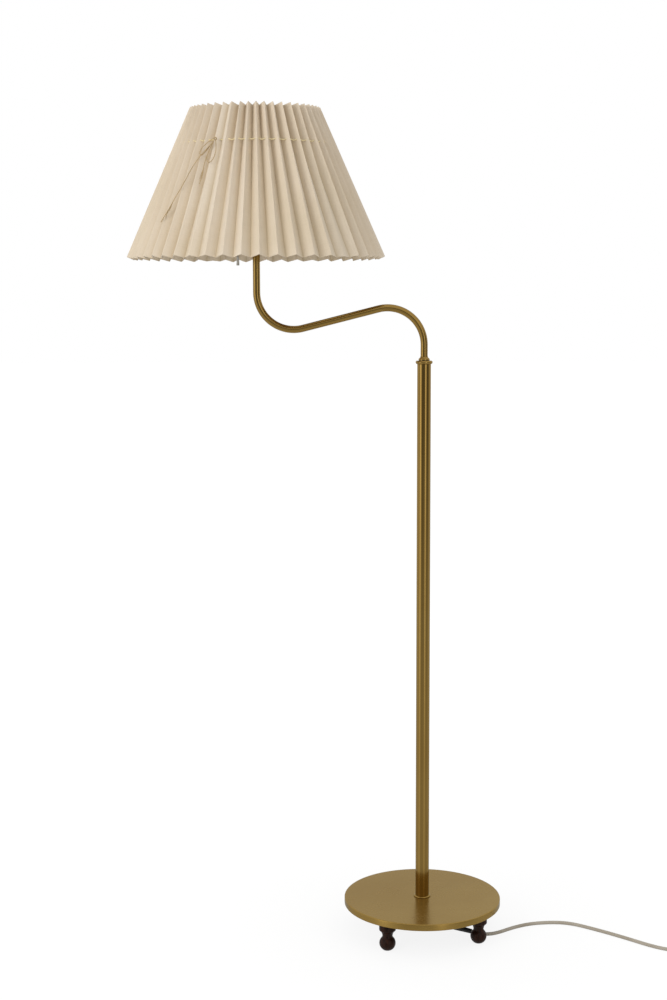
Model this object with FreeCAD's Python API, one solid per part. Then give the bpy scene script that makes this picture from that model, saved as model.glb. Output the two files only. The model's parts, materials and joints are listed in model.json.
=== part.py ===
"""Bridge floor lamp: brass column on a weighted disc with four turned feet, an S-shaped arm that
swivels on the column, and a pleated shade over a lampholder with a pull switch.

Millimetres, +Z up. The origin is on the floor, in the middle of the lamp's plan, so the column
stands at +X and the shade hangs out towards -X. Pieces are modelled round the column's axis or
round the shade's axis, and moved into the frame when they are written.
"""

import FreeCAD
import Part
import math
import os

# ---- driving dimensions -------------------------------------------------------------------
BASE_R = 135.0              # outer radius of the base disc
BASE_UNDER_Z = 48.2         # underside of the base, carried by the feet
BASE_TOP_Z = 59.4
COVER_WALL = 1.2            # spun brass over the iron weight

FOOT_CIRCLE_R = 112.5
FOOT_FIRST_ANGLE = -34.2    # the front right foot, seen from the front
FOOT_BALL_R = 13.8

COLUMN_R = 11.6
COLUMN_WALL = 1.2
COLUMN_TOP_Z = 983.0

ARM_R = 6.0
ARM_WALL = 1.0
ARM_BEND_R = 61.5           # centre line radius of both bends
ARM_SLOPE = 14.15           # the middle run falls this many degrees towards the shade
ARM_FIRST_BEND_Z = 1015.0   # where the leg over the column starts to bend
ARM_TOP_Z = 1203.0
SHADE_REACH = 279.0         # column axis to shade axis

SHADE_HEM_R = 214.0         # outer folds at the hem
SHADE_TOP_R = 107.5         # outer folds at the top edge
SHADE_HEM_Z = 1161.0
SHADE_TOP_Z = 1402.5
PLEATS = 48
FIRST_FOLD = -3.5           # an outer fold stands here, in degrees from the front
HEM_DEPTH = 11.0            # radial depth of a pleat at the hem
TOP_DEPTH = 14.0
FOLD_DROP = 4.8             # the inner folds end this much lower than the outer ones
CLOTH_RADIAL = 1.2          # cloth thickness, measured along a radius

CORD_R = 3.0
FLOOR_CORD_Z = 3.05
FLEX_FIT = 0.15             # room round the flex in the lamp's tubes

SWIVEL_GAP = 0.05           # running clearance of the sleeve in the collar
SEAT_GAP = 0.3              # between pieces of different bodies that face each other

# ---- what follows from them ---------------------------------------------------------------
COLUMN_X = (SHADE_REACH + SHADE_HEM_R - BASE_R) / 2
SHADE_X = COLUMN_X - SHADE_REACH

V = FreeCAD.Vector
UP = V(0, 0, 1)


# ---- ways of making a shape ---------------------------------------------------------------
def outline(start, *steps):
    """A closed wire in the XZ plane. A step is an end point (r, z), or a pair (through, end)
    for an arc."""
    here = V(start[0], 0, start[1])
    first = here
    edges = []
    for step in steps:
        if isinstance(step[0], tuple):
            through, end = (V(p[0], 0, p[1]) for p in step)
            edges.append(Part.Arc(here, through, end).toShape())
        else:
            end = V(step[0], 0, step[1])
            edges.append(Part.LineSegment(here, end).toShape())
        here = end
    if here.distanceToPoint(first) > 1e-6:
        edges.append(Part.LineSegment(here, first).toShape())
    return Part.Wire(edges)


def turned(start, *steps):
    """A solid of revolution about Z, as from a lathe."""
    return Part.Face(outline(start, *steps)).revolve(V(0, 0, 0), UP, 360)


def rod(r, z0, z1, x=0.0, y=0.0):
    return Part.makeCylinder(r, z1 - z0, V(x, y, z0))


def tube(r_out, r_in, z0, z1):
    return rod(r_out, z0, z1).cut(rod(r_in, z0, z1))


def straight(a, b, r):
    """A round bar from a to b."""
    a, b = V(*a), V(*b)
    return Part.makeCylinder(r, a.distanceToPoint(b), a, b - a)


def ring_wire(major, wire_r, z):
    return Part.makeTorus(major, wire_r, V(0, 0, z))


def swept(edges, r):
    """A round bar along a path of tangent lines and arcs."""
    path = Part.Wire(edges)
    first = edges[0]
    start = first.valueAt(first.FirstParameter)
    direction = first.tangentAt(first.FirstParameter)
    section = Part.Wire([Part.Circle(start, direction, r).toShape()])
    return path.makePipeShell([section], True, False)


def rounded_path(points, name):
    """Straight runs joined by tangent arcs, each arc as large as its two runs allow."""
    share = 0.45
    pts = [V(*p) for p in points]
    edges = []
    radii = []
    here = pts[0]
    for before, corner, after in zip(pts, pts[1:], pts[2:]):
        into = (corner - before).normalize()
        out = (after - corner).normalize()
        half_turn = into.getAngle(out) / 2
        trim = share * min(corner.distanceToPoint(before), corner.distanceToPoint(after))
        radius = trim / math.tan(half_turn)
        radii.append(radius)
        start = corner - into * trim
        end = corner + out * trim
        inward = (out - into).normalize()
        through = corner + inward * (radius / math.cos(half_turn) - radius)
        edges.append(Part.LineSegment(here, start).toShape())
        edges.append(Part.Arc(start, through, end).toShape())
        here = end
    edges.append(Part.LineSegment(here, pts[-1]).toShape())
    print(name, "bend radii", [round(r, 1) for r in radii])
    return edges


def cord_along(points, r, name):
    edges = rounded_path(points, name)
    solid = swept(edges, r)
    length = sum(e.Length for e in edges)
    print(name, "length", round(length, 1), "volume / section x length",
          round(solid.Volume / (math.pi * r * r * length), 4))
    return solid


def biarc(p0, t0, p1, t1):
    """Two arcs from p0 to p1 that start along t0 and end along t1."""
    across = p1 - p0
    both = t0 + t1
    a = both.dot(both) - 4
    b = -2 * across.dot(both)
    c = across.dot(across)
    d = (-b - math.sqrt(b * b - 4 * a * c)) / (2 * a)
    q0 = p0 + t0 * d
    q1 = p1 - t1 * d
    joint = (q0 + q1) * 0.5
    return [arc_from_corner(p0, q0, joint), arc_from_corner(joint, q1, p1)]


def arc_from_corner(start, corner, end):
    """The arc that is tangent to start-corner and corner-end, two runs of one length."""
    chord_mid = (start + end) * 0.5
    run = start.distanceToPoint(corner)
    half_chord = start.distanceToPoint(chord_mid)
    height = corner.distanceToPoint(chord_mid)
    bulge = half_chord * height / (run + half_chord)
    through = chord_mid + (corner - chord_mid).normalize() * bulge
    return Part.Arc(start, through, end).toShape()


def polar(r, degrees, z=0.0):
    return V(r * math.cos(math.radians(degrees)), r * math.sin(math.radians(degrees)), z)


def turn_about_z(shape, degrees):
    copy = shape.copy()
    copy.rotate(V(0, 0, 0), UP, degrees)
    return copy


def four_of(shape, first_angle):
    return [turn_about_z(shape, first_angle + 90 * i) for i in range(4)]


# ---- base ---------------------------------------------------------------------------------
NIPPLE_R = 5.0
NIPPLE_FIT = 5.1            # holes that the nipple passes or screws into
STUD_R = 3.0
STUD_FIT = 3.1
STUD_LOW_Z = 24.0
STUD_TOP_Z = 56.0
RECESS_R = 24.0             # recess in the weight's underside for the washer and nut
RECESS_Z = 52.2
COVER_EDGE_R = 1.6          # rounded top edge of the cover


def base_cover():
    edge_top = BASE_TOP_Z - COVER_EDGE_R
    inner_r = BASE_R - COVER_WALL
    corner = COVER_EDGE_R * (1 - math.sqrt(0.5))
    return turned(
        (NIPPLE_FIT, BASE_TOP_Z), (BASE_R - COVER_EDGE_R, BASE_TOP_Z),
        ((BASE_R - corner, BASE_TOP_Z - corner), (BASE_R, edge_top)),
        (BASE_R, BASE_UNDER_Z + 0.5), (BASE_R - 0.5, BASE_UNDER_Z), (inner_r, BASE_UNDER_Z),
        (inner_r, BASE_TOP_Z - COVER_WALL), (NIPPLE_FIT, BASE_TOP_Z - COVER_WALL))


def base_weight():
    top = BASE_TOP_Z - COVER_WALL
    rim = BASE_R - COVER_WALL - 0.3
    plate = turned(
        (NIPPLE_FIT, top), (rim - 1, top), (rim, top - 1), (rim, BASE_UNDER_Z),
        (RECESS_R + 1, BASE_UNDER_Z), (RECESS_R, BASE_UNDER_Z + 1), (RECESS_R, RECESS_Z),
        (NIPPLE_FIT, RECESS_Z))
    hole = rod(STUD_FIT, BASE_UNDER_Z, STUD_TOP_Z + 0.5, FOOT_CIRCLE_R)
    for cut in four_of(hole, FOOT_FIRST_ANGLE):
        plate = plate.cut(cut)
    return plate


def foot():
    """Turned foot: a ball that is flat underneath, a waist, and a straight collar."""
    ball_z = 12.0
    floor_r = math.sqrt(FOOT_BALL_R ** 2 - ball_z ** 2)
    waist_low = (9.4, 22.1)
    waist = (8.7, 25.0)
    collar_low = (14.0, 34.5)
    body = turned(
        (0, 0), (floor_r, 0), ((FOOT_BALL_R, ball_z), waist_low),
        ((waist[0], waist[1] - 1.2), waist), ((10.0, 30.2), collar_low),
        (14.2, 36.0), (14.2, BASE_UNDER_Z), (0, BASE_UNDER_Z))
    socket = rod(STUD_FIT, STUD_LOW_Z - 0.5, BASE_UNDER_Z)
    return body.cut(socket).translated(V(FOOT_CIRCLE_R, 0, 0))


def foot_stud():
    chamfer = 0.6
    return turned(
        (0, STUD_LOW_Z), (STUD_R - chamfer, STUD_LOW_Z), (STUD_R, STUD_LOW_Z + chamfer),
        (STUD_R, STUD_TOP_Z - chamfer), (STUD_R - chamfer, STUD_TOP_Z), (0, STUD_TOP_Z),
    ).translated(V(FOOT_CIRCLE_R, 0, 0))


# ---- column and what clamps it to the base --------------------------------------------------
COLUMN_BORE = COLUMN_R - COLUMN_WALL
PLUG_HEIGHT = 26.0
NIPPLE_LOW_Z = 34.0
NIPPLE_TOP_Z = 80.0
NIPPLE_BORE = CORD_R + FLEX_FIT + 0.15


def column_foot_ring():
    """Thin turned ring that covers the joint of column and base."""
    inner, outer, height = COLUMN_R + 0.05, 14.6, 2.4
    return turned(
        (inner, BASE_TOP_Z), (outer - 0.4, BASE_TOP_Z),
        ((outer, BASE_TOP_Z + 0.9), (outer - 0.7, BASE_TOP_Z + 1.9)),
        (outer - 1.6, BASE_TOP_Z + height), (inner, BASE_TOP_Z + height))


def column_plug():
    return tube(COLUMN_BORE - 0.05, NIPPLE_FIT, BASE_TOP_Z, BASE_TOP_Z + PLUG_HEIGHT)


def clamp_nut():
    across_flats, height = 17.0, 5.5
    corner_r = across_flats / math.sqrt(3)
    low = RECESS_Z - 2.0 - height
    corners = [polar(corner_r, 60 * i, low) for i in range(7)]
    prism = Part.Face(Part.makePolygon(corners)).extrude(V(0, 0, height))
    bevel = turned(
        (0, low - 1), (across_flats / 2 - 0.5, low - 1), (across_flats / 2 - 0.5, low),
        (corner_r, low + 1.0), (corner_r, low + height), (0, low + height))
    return prism.common(bevel).cut(rod(NIPPLE_FIT, low - 1, low + height + 1))


# The flex turns outwards in an elbow under the base, and slopes down to the floor behind the
# front right foot.
CORD_HEADING = -19.0
ELBOW_R = 16.0
ELBOW_Z = 32.1
RELIEF_SLOPE = 8.0          # the relief falls this many degrees
RELIEF_STEM = 17.0          # straight part after the elbow
RELIEF_TAPER = 59.0


def on_elbow(degrees):
    a = math.radians(degrees)
    return V(ELBOW_R * (1 + math.cos(a)), 0, ELBOW_Z + ELBOW_R * math.sin(a))


def down_the_relief(run):
    """A point on the flex's axis this far past the elbow."""
    slope = math.radians(RELIEF_SLOPE)
    return on_elbow(270 - RELIEF_SLOPE) + V(math.cos(slope), 0, -math.sin(slope)) * run


def flex_path(z_top):
    mouth = down_the_relief(RELIEF_STEM + RELIEF_TAPER)
    elbow_end, middle = down_the_relief(0), on_elbow(225 - RELIEF_SLOPE / 2)
    return [
        Part.LineSegment(mouth, elbow_end).toShape(),
        Part.Arc(elbow_end, middle, V(0, 0, ELBOW_Z)).toShape(),
        Part.LineSegment(V(0, 0, ELBOW_Z), V(0, 0, z_top)).toShape()]


def cord_relief():
    """Rubber elbow screwed on the nipple, with a stem and a taper down to its mouth."""
    elbow_r, stem_r, mouth_r = 6.4, 5.8, 3.9
    start, stem_end = down_the_relief(0), down_the_relief(RELIEF_STEM)
    along = (stem_end - start).normalize()
    socket = rod(8.0, ELBOW_Z, 42.0)
    elbow = swept(flex_path(ELBOW_Z + 1.0)[1:], elbow_r)
    stem = Part.makeCylinder(elbow_r, RELIEF_STEM, start, along)
    taper = Part.makeCone(stem_r, mouth_r, RELIEF_TAPER, stem_end, along)
    body = socket.fuse([elbow, stem, taper]).removeSplitter()
    body = body.cut(rod(NIPPLE_FIT, NIPPLE_LOW_Z, 43.0))
    body = body.cut(swept(flex_path(NIPPLE_LOW_Z + 1.0), CORD_R + 0.05))
    return turn_about_z(body, CORD_HEADING)


def column_flex():
    return turn_about_z(swept(flex_path(FLEX_SPLIT_Z - 0.5), CORD_R), CORD_HEADING)


# ---- the swivel on top of the column ------------------------------------------------------
COLLAR_SKIRT = 46.0         # how far the collar goes down in the column
BEAD_R = 14.3
BEAD_HEIGHT = 5.6
SLEEVE_R = 7.95
SLEEVE_LOW_Z = COLUMN_TOP_Z - COLLAR_SKIRT - 11.0
COLLAR_LOW_Z = COLUMN_TOP_Z - COLLAR_SKIRT
BEAD_TOP_Z = COLUMN_TOP_Z + BEAD_HEIGHT
FLEX_SPLIT_Z = SLEEVE_LOW_Z - 6.0
WASHER_T = 0.6
STOP_PIN_R = 1.5
STOP_PIN_REACH = 9.9
STOP_LUG_HALF_ANGLE = 4.5


def column_collar():
    """Turned collar: a rounded bead over the column's end, a skirt that bears the arm's
    sleeve, and a lug under it that stops the arm's pin."""
    bore = SLEEVE_R + SWIVEL_GAP
    skirt_r = COLUMN_BORE - 0.05
    mid = COLUMN_TOP_Z + BEAD_HEIGHT / 2
    collar = turned(
        (bore, COLLAR_LOW_Z), (skirt_r, COLLAR_LOW_Z), (skirt_r, COLUMN_TOP_Z),
        (BEAD_R - 1.5, COLUMN_TOP_Z), ((BEAD_R, mid), (BEAD_R - 1.5, BEAD_TOP_Z)),
        (bore, BEAD_TOP_Z))
    lug_height = 5.0
    lug = Part.makeCylinder(skirt_r, lug_height, V(0, 0, COLLAR_LOW_Z - lug_height), UP,
                            2 * STOP_LUG_HALF_ANGLE)
    lug = lug.cut(rod(SLEEVE_R + SEAT_GAP, COLLAR_LOW_Z - lug_height, COLLAR_LOW_Z))
    return collar.fuse(turn_about_z(lug, -STOP_LUG_HALF_ANGLE)).removeSplitter()


def stop_pin():
    pin_z = COLLAR_LOW_Z - SEAT_GAP - STOP_PIN_R
    return straight((-STOP_PIN_REACH, 0, pin_z), (-ARM_R - 0.1, 0, pin_z), STOP_PIN_R)


def swivel_sleeve():
    sleeve = tube(SLEEVE_R, ARM_R + 0.02, SLEEVE_LOW_Z, BEAD_TOP_Z + WASHER_T)
    return sleeve.cut(stop_pin())


def arm_ferrule():
    """Small turned dome where the arm leaves the collar."""
    low = BEAD_TOP_Z + WASHER_T + 0.1
    inner = ARM_R + 0.02
    return turned(
        (inner, low), (9.3, low), (9.4, low + 1.4), ((8.6, low + 3.0), (7.2, low + 4.0)),
        ((6.7, low + 4.8), (6.5, low + 6.4)), (inner, low + 6.6))


# ---- arm ------------------------------------------------------------------------------------
def arm_path(z_low, z_high):
    """The arm's centre line in the XZ plane: up from the column, over, down the slope and up
    into the shade."""
    slope = math.radians(ARM_SLOPE)
    first_centre = (-ARM_BEND_R, ARM_FIRST_BEND_Z)
    over = math.radians(90 + ARM_SLOPE)

    def on_circle(centre, angle):
        return V(centre[0] + ARM_BEND_R * math.cos(angle), 0,
                 centre[1] + ARM_BEND_R * math.sin(angle))

    start = V(0, 0, z_low)
    leg_end = on_circle(first_centre, 0)
    first_mid = on_circle(first_centre, over / 2)
    run_start = on_circle(first_centre, over)
    lower_x = -SHADE_REACH + ARM_BEND_R
    run_end_x = lower_x + ARM_BEND_R * math.sin(slope)
    run = (run_start.x - run_end_x) / math.cos(slope)
    run_end = run_start + V(-math.cos(slope), 0, -math.sin(slope)) * run
    second_centre = (lower_x, run_end.z + ARM_BEND_R * math.cos(slope))
    second_mid = on_circle(second_centre, math.pi + over / 2)
    rise_start = on_circle(second_centre, math.pi)
    return [
        Part.LineSegment(start, leg_end).toShape(),
        Part.Arc(leg_end, first_mid, run_start).toShape(),
        Part.LineSegment(run_start, run_end).toShape(),
        Part.Arc(run_end, second_mid, rise_start).toShape(),
        Part.LineSegment(rise_start, V(-SHADE_REACH, 0, z_high)).toShape()]


def arm_tube():
    outer = swept(arm_path(SLEEVE_LOW_Z, ARM_TOP_Z), ARM_R)
    inner = swept(arm_path(SLEEVE_LOW_Z - 1, ARM_TOP_Z + 1), ARM_R - ARM_WALL)
    return outer.cut(inner)


def arm_flex():
    return swept(arm_path(FLEX_SPLIT_Z + 0.5, SWITCH_LOW_Z - 0.5), CORD_R)


# ---- lampholder, round the shade's axis -----------------------------------------------------
CUP_R = 20.5
CUP_TOP_Z = 1232.0
CUP_WALL = 1.2
SWITCH_LOW_Z = 1212.0
SWITCH_TOP_Z = 1230.0
SHELL_R = 20.0
SHELL_BORE = 18.4
SHELL_TOP_Z = 1262.0
SHOULDER_Z = 1240.0         # the shade's fitter rests on this shoulder of the shell
INSERT_BORE = 14.2
CONTACT_TOP_Z = 1237.4
BULB_CAP_R = 13.1
BULB_R = 30.0
BULB_TOP_Z = 1345.0
PULL_X = -30.6              # the pull hangs this far from the shade's axis
GUIDE_LOW_Z = 1205.0
GUIDE_TOP_Z = 1224.0
GUIDE_MID_Z = 1219.0
BEAD_CHAIN_R = 1.6


def holder_nipple():
    return tube(ARM_R - ARM_WALL - 0.05, NIPPLE_BORE, ARM_TOP_Z - 13, ARM_TOP_Z + 8.5)


def holder_cup():
    hub_r = 8.5
    hub_top = ARM_TOP_Z + 6.0
    bore = ARM_R - ARM_WALL
    cup = turned(
        (bore, ARM_TOP_Z), (hub_r - 0.5, ARM_TOP_Z), (hub_r, ARM_TOP_Z + 0.5),
        (hub_r, ARM_TOP_Z + 3.5),
        ((16.6, 1212.0), (CUP_R, 1224.0)), (CUP_R, CUP_TOP_Z), (CUP_R - CUP_WALL, CUP_TOP_Z),
        (CUP_R - CUP_WALL, 1224.2), ((15.6, 1213.4), (hub_r, hub_top + 2.0)), (bore, hub_top + 2.0))
    return cup.cut(straight((PULL_X, 0, GUIDE_MID_Z), (-10, 0, GUIDE_MID_Z), 3.3))


def pull_guide():
    """Small brass elbow that turns the pull chain downwards, with a flared mouth."""
    bore = BEAD_CHAIN_R + 0.5
    head = turned(
        (0, GUIDE_TOP_Z), (2.4, GUIDE_TOP_Z), ((4.0, GUIDE_TOP_Z - 0.9), (4.4, GUIDE_TOP_Z - 3)),
        (4.4, GUIDE_LOW_Z + 4.0), ((4.6, GUIDE_LOW_Z + 1.6), (5.6, GUIDE_LOW_Z)),
        (bore + 1.4, GUIDE_LOW_Z), (bore, GUIDE_LOW_Z + 2.0), (bore, GUIDE_TOP_Z - 2.0),
        (0, GUIDE_TOP_Z - 2.0)).translated(V(PULL_X, 0, 0))
    neck = straight((PULL_X, 0, GUIDE_MID_Z), (-16.5, 0, GUIDE_MID_Z), 3.2)
    well = rod(bore, GUIDE_LOW_Z, GUIDE_TOP_Z - 2.0, PULL_X)
    return head.fuse(neck).cut(well).removeSplitter()


def switch_block():
    """Moulded block in the cup that holds the pull switch, flat where the guide's neck ends."""
    block = tube(15.4, 0.8, SWITCH_LOW_Z + 2.0, SWITCH_TOP_Z)
    block = block.fuse(tube(11.5, 0.8, SWITCH_LOW_Z, SWITCH_LOW_Z + 2.0))
    flat = Part.makeBox(6, 40, 30, V(-20.4, -20, SWITCH_LOW_Z - 1))
    return block.cut(flat).removeSplitter()


def holder_shell():
    """Outer shell of the lampholder, with the shoulder that carries the shade."""
    spigot_r = CUP_R - CUP_WALL - 0.05
    shoulder_r = 24.0
    return turned(
        (SHELL_BORE, 1226.0), (spigot_r, 1226.0), (spigot_r, CUP_TOP_Z), (SHELL_R, CUP_TOP_Z),
        (SHELL_R, SHOULDER_Z - 2.2), (shoulder_r - 0.6, SHOULDER_Z - 2.2),
        ((shoulder_r, SHOULDER_Z - 1.1), (shoulder_r - 0.6, SHOULDER_Z)),
        (SHELL_R, SHOULDER_Z), (SHELL_R, SHELL_TOP_Z - 1.0),
        ((SHELL_R - 0.4, SHELL_TOP_Z - 0.3), (SHELL_R - 1.0, SHELL_TOP_Z)),
        (SHELL_BORE, SHELL_TOP_Z))


def holder_insert():
    """Ceramic insert with a seat for the centre contact."""
    r = SHELL_BORE - 0.1
    top = SHELL_TOP_Z - 1.5
    return turned(
        (4.0, CUP_TOP_Z), (r, CUP_TOP_Z), (r, top), (INSERT_BORE, top),
        (INSERT_BORE, CUP_TOP_Z + 4.5), (4.0, CUP_TOP_Z + 4.5))


def screw_shell():
    return tube(INSERT_BORE - 0.1, INSERT_BORE - 0.7, CUP_TOP_Z + 5.5, SHELL_TOP_Z - 2.5)


def centre_contact():
    return turned(
        (0, CUP_TOP_Z), (3.6, CUP_TOP_Z), (3.6, CONTACT_TOP_Z - 1.2), (2.4, CONTACT_TOP_Z),
        (0, CONTACT_TOP_Z))


def bulb_cap():
    low = CONTACT_TOP_Z + 0.1
    return turned(
        (0, low), (4.5, low), (5.0, low + 1.2), (BULB_CAP_R - 1.6, low + 4.0),
        (BULB_CAP_R, low + 5.4), (BULB_CAP_R, SHELL_TOP_Z + 1.0), (0, SHELL_TOP_Z + 1.0))


def bulb_glass():
    """Round bulb: a straight throat that widens into a globe."""
    centre_z = BULB_TOP_Z - BULB_R
    low = SHELL_TOP_Z + 1.0
    wall = 0.8

    def envelope(r, throat, z_low):
        side = math.radians(-38)
        meets = (r * math.cos(side), centre_z + r * math.sin(side))
        shoulder = (throat + 0.31 * (meets[0] - throat), z_low + 0.62 * (meets[1] - z_low))
        return turned(
            (0, z_low), (throat, z_low), (throat + 0.2, z_low + 6), (shoulder, meets),
            ((r, centre_z), (0, centre_z + r)))

    outer = envelope(BULB_R, BULB_CAP_R, low)
    return outer.cut(envelope(BULB_R - wall, BULB_CAP_R - wall, low + 1.0))


# ---- shade ------------------------------------------------------------------------------------
CORD_HOLE_Z = 1345.0        # the draw cord and the upper ring sit at this height
WIRE_R = 1.5
RING_FIT = 0.5              # between a ring and the inner folds
LOWER_RING_Z = 1176.0
STRUTS_FIRST_ANGLE = 0.0
SPOKES_FIRST_ANGLE = 45.0
DRAW_CORD_R = 0.6


def cone_r(z):
    """Radius of the outer folds at height z."""
    return SHADE_TOP_R + (SHADE_TOP_Z - z) / (SHADE_TOP_Z - SHADE_HEM_Z) * (
        SHADE_HEM_R - SHADE_TOP_R)


def pleat_depth(z):
    return TOP_DEPTH + (SHADE_TOP_Z - z) / (SHADE_TOP_Z - SHADE_HEM_Z) * (HEM_DEPTH - TOP_DEPTH)


OPEN_PLEATS = ((41.5, 0.95), (-24.0, 0.45), (-71.0, 0.6), (101.5, 0.8), (154.0, 0.5),
               (-153.5, 0.9), (-108.0, 0.5))     # degrees from the front, and how far open


def hem_wander(from_front):
    """Degrees that the folds stray sideways at the hem, where the cloth hangs free."""
    a = math.radians(from_front)
    return 1.05 * math.sin(a + 1.04) + 1.73 * math.sin(3 * a - 1.01) + 0.54 * math.sin(
        6 * a + 2.22)


def top_wander(from_front):
    return -1.2 * math.sin(6 * math.radians(from_front))


def hem_flatness(from_front):
    """How far open a pleat hangs at the hem, 0 to 1: here and there one is nearly flat."""
    share = 0.0
    for place, most in OPEN_PLEATS:
        away = (from_front - place + 180) % 360 - 180
        share += most * math.exp(-(away / 5.0) ** 2)
    return share


def fold_line(k, inset):
    """Hem point and top point of fold k; even folds are outer ones."""
    from_front = FIRST_FOLD + k * 180.0 / PLEATS
    inner = k % 2
    fold = inner + (0.5 - inner) * hem_flatness(from_front)
    hem = polar(SHADE_HEM_R - HEM_DEPTH * fold - inset, from_front - 90 + hem_wander(from_front),
                SHADE_HEM_Z - FOLD_DROP * fold)
    top = polar(SHADE_TOP_R - TOP_DEPTH * inner - inset, from_front - 90 + top_wander(from_front),
                SHADE_TOP_Z - FOLD_DROP * inner)
    return hem, top


def ruled(a, b, c, d):
    """The face between the straight edges a-b and c-d."""
    one = Part.LineSegment(a, b).toShape()
    other = Part.LineSegment(c, d).toShape()
    return Part.makeRuledSurface(one, other)


def shade_pleats():
    """Pleated cloth: outer skin and inner skin of ruled panels between straight folds, closed
    by strips along the hem and the top edge."""
    count = 2 * PLEATS
    skin = [fold_line(k, 0.0) for k in range(count)]
    lining = [fold_line(k, CLOTH_RADIAL) for k in range(count)]
    faces = []
    for k in range(count):
        n = (k + 1) % count
        faces.append(ruled(skin[k][0], skin[n][0], skin[k][1], skin[n][1]))
        faces.append(ruled(lining[k][0], lining[n][0], lining[k][1], lining[n][1]))
        for end in (0, 1):
            faces.append(ruled(skin[k][end], skin[n][end], lining[k][end], lining[n][end]))
    shell = Part.makeShell(faces)
    shell.sewShape()
    solid = Part.makeSolid(shell)
    if solid.Volume < 0:
        solid.reverse()
    return solid


def ring_major(z):
    """A wire ring that the inner folds rest on at height z. They end lower than the outer folds."""
    inner_fold_r = cone_r(z + FOLD_DROP) - pleat_depth(z + FOLD_DROP)
    return inner_fold_r - CLOTH_RADIAL - RING_FIT - WIRE_R


def upper_ring():
    return ring_wire(ring_major(CORD_HOLE_Z), WIRE_R, CORD_HOLE_Z)


def lower_ring():
    return ring_wire(ring_major(LOWER_RING_Z), WIRE_R, LOWER_RING_Z)


def frame_struts():
    """Four wires from the lower ring to the upper one, welded inside them."""
    strut = straight((ring_major(LOWER_RING_Z), 0, LOWER_RING_Z),
                     (ring_major(CORD_HOLE_Z), 0, CORD_HOLE_Z), WIRE_R - 0.2)
    strut = strut.cut(lower_ring()).cut(upper_ring())
    longest = max(strut.Solids, key=lambda s: s.Volume)
    return Part.makeCompound(four_of(longest, STRUTS_FIRST_ANGLE))


FITTER_R = 25.5
FITTER_T = 1.5


def fitter_ring():
    return tube(FITTER_R, SHELL_R + 0.2, SHOULDER_Z, SHOULDER_Z + FITTER_T)


def fitter_spokes():
    """Four wires from the fitter ring up to the upper ring."""
    spoke = straight((FITTER_R - 1.4, 0, SHOULDER_Z + FITTER_T + 0.4),
                     (ring_major(CORD_HOLE_Z), 0, CORD_HOLE_Z), WIRE_R - 0.2)
    spoke = spoke.cut(upper_ring()).cut(rod(FITTER_R + 6, 0, SHOULDER_Z + FITTER_T))
    spoke = spoke.cut(rod(SHADE_RING_R + 0.2, SHOULDER_Z, SHOULDER_Z + FITTER_T + 7))
    longest = max(spoke.Solids, key=lambda s: s.Volume)
    return Part.makeCompound(four_of(longest, SPOKES_FIRST_ANGLE))


SHADE_RING_R = 23.6


def shade_ring():
    """Threaded ring that clamps the fitter on the shoulder, rounded and grooved for grip."""
    low = SHOULDER_Z + FITTER_T
    ring = turned(
        (SHELL_R + 0.05, low), (SHADE_RING_R, low), (SHADE_RING_R, low + 5.2),
        ((SHADE_RING_R - 0.35, low + 6.05), (SHADE_RING_R - 1.2, low + 6.4)),
        (SHELL_R + 0.05, low + 6.4))
    for i in range(24):
        groove = rod(0.5, low, low + 6.5, SHADE_RING_R + 0.15)
        ring = ring.cut(turn_about_z(groove, 15 * i))
    return ring


def draw_cord():
    """The cord that is threaded through every pleat and draws them together."""
    z = CORD_HOLE_Z - 2.0
    return ring_wire(cone_r(z) - 0.5 * pleat_depth(z), DRAW_CORD_R, z)


BOW_ANGLE = -114.5          # the bow is tied here, to the left of the front
BOW_LIFT = 2.2              # it lies this far off the outer folds


def on_shade(side, drop, lift):
    """A point on the cone of the outer folds: side mm round from the bow's place, drop mm down
    from the draw cord, and lift mm off the folds."""
    z = CORD_HOLE_Z - 2.0 - drop
    r = cone_r(z) + BOW_LIFT + lift
    point = polar(r, BOW_ANGLE + math.degrees(side / r), z)
    return (point.x, point.y, point.z)


BOW_LOOP_LARGE = ((0, 2, 0.4), (4.5, 12, 1.5), (5.5, 25, 1.0), (1.5, 37, 0.4), (-6, 39, 0.4),
                  (-9.5, 29, 1.0), (-6, 15, 1.4), (-1.6, 4, 1.8))
BOW_LOOP_SMALL = ((-2, 0, 2.4), (-10, 4.5, 2.8), (-19, 11.5, 1.8), (-24.5, 18, 0.6),
                  (-24.5, 25, 0.4), (-18.5, 26.5, 0.4), (-12, 19, 0.8), (-4, 8, 3.2))
BOW_TAIL_LONG = ((-1, 6, 4.4), (-14, 20, 3.4), (-28, 34, 0.3), (-38, 52, 0.1), (-46, 72, 0.3),
                 (-58, 92, 0.1), (-68, 112, 0.3), (-80, 130, 0.1))
BOW_TAIL_SHORT = ((-3.2, 5, 0.6), (-9, 24, 0.4), (-12, 42, 0.1), (-10, 58, 0.3), (-13, 72, 0.1))


def draw_cord_bow():
    """The knot, loops and tails of the draw cord, limp on the outside of the pleats."""
    knot = Part.makeSphere(2.0, V(*on_shade(-0.5, 0.5, -2.2)))
    strands = [cord_along([on_shade(*p) for p in route], DRAW_CORD_R, name)
               for name, route in (("large loop", BOW_LOOP_LARGE), ("small loop", BOW_LOOP_SMALL),
                                   ("long tail", BOW_TAIL_LONG), ("short tail", BOW_TAIL_SHORT))]
    return Part.makeCompound([knot] + strands)


# ---- pull switch's chain ------------------------------------------------------------------------
BELL_LOW_Z = 1147.0
BELL_TOP_Z = 1165.0
CHAIN_TOP_Z = 1219.5
CHAIN_PITCH = 4.4
CHAIN_LINK_R = 0.6


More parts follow.
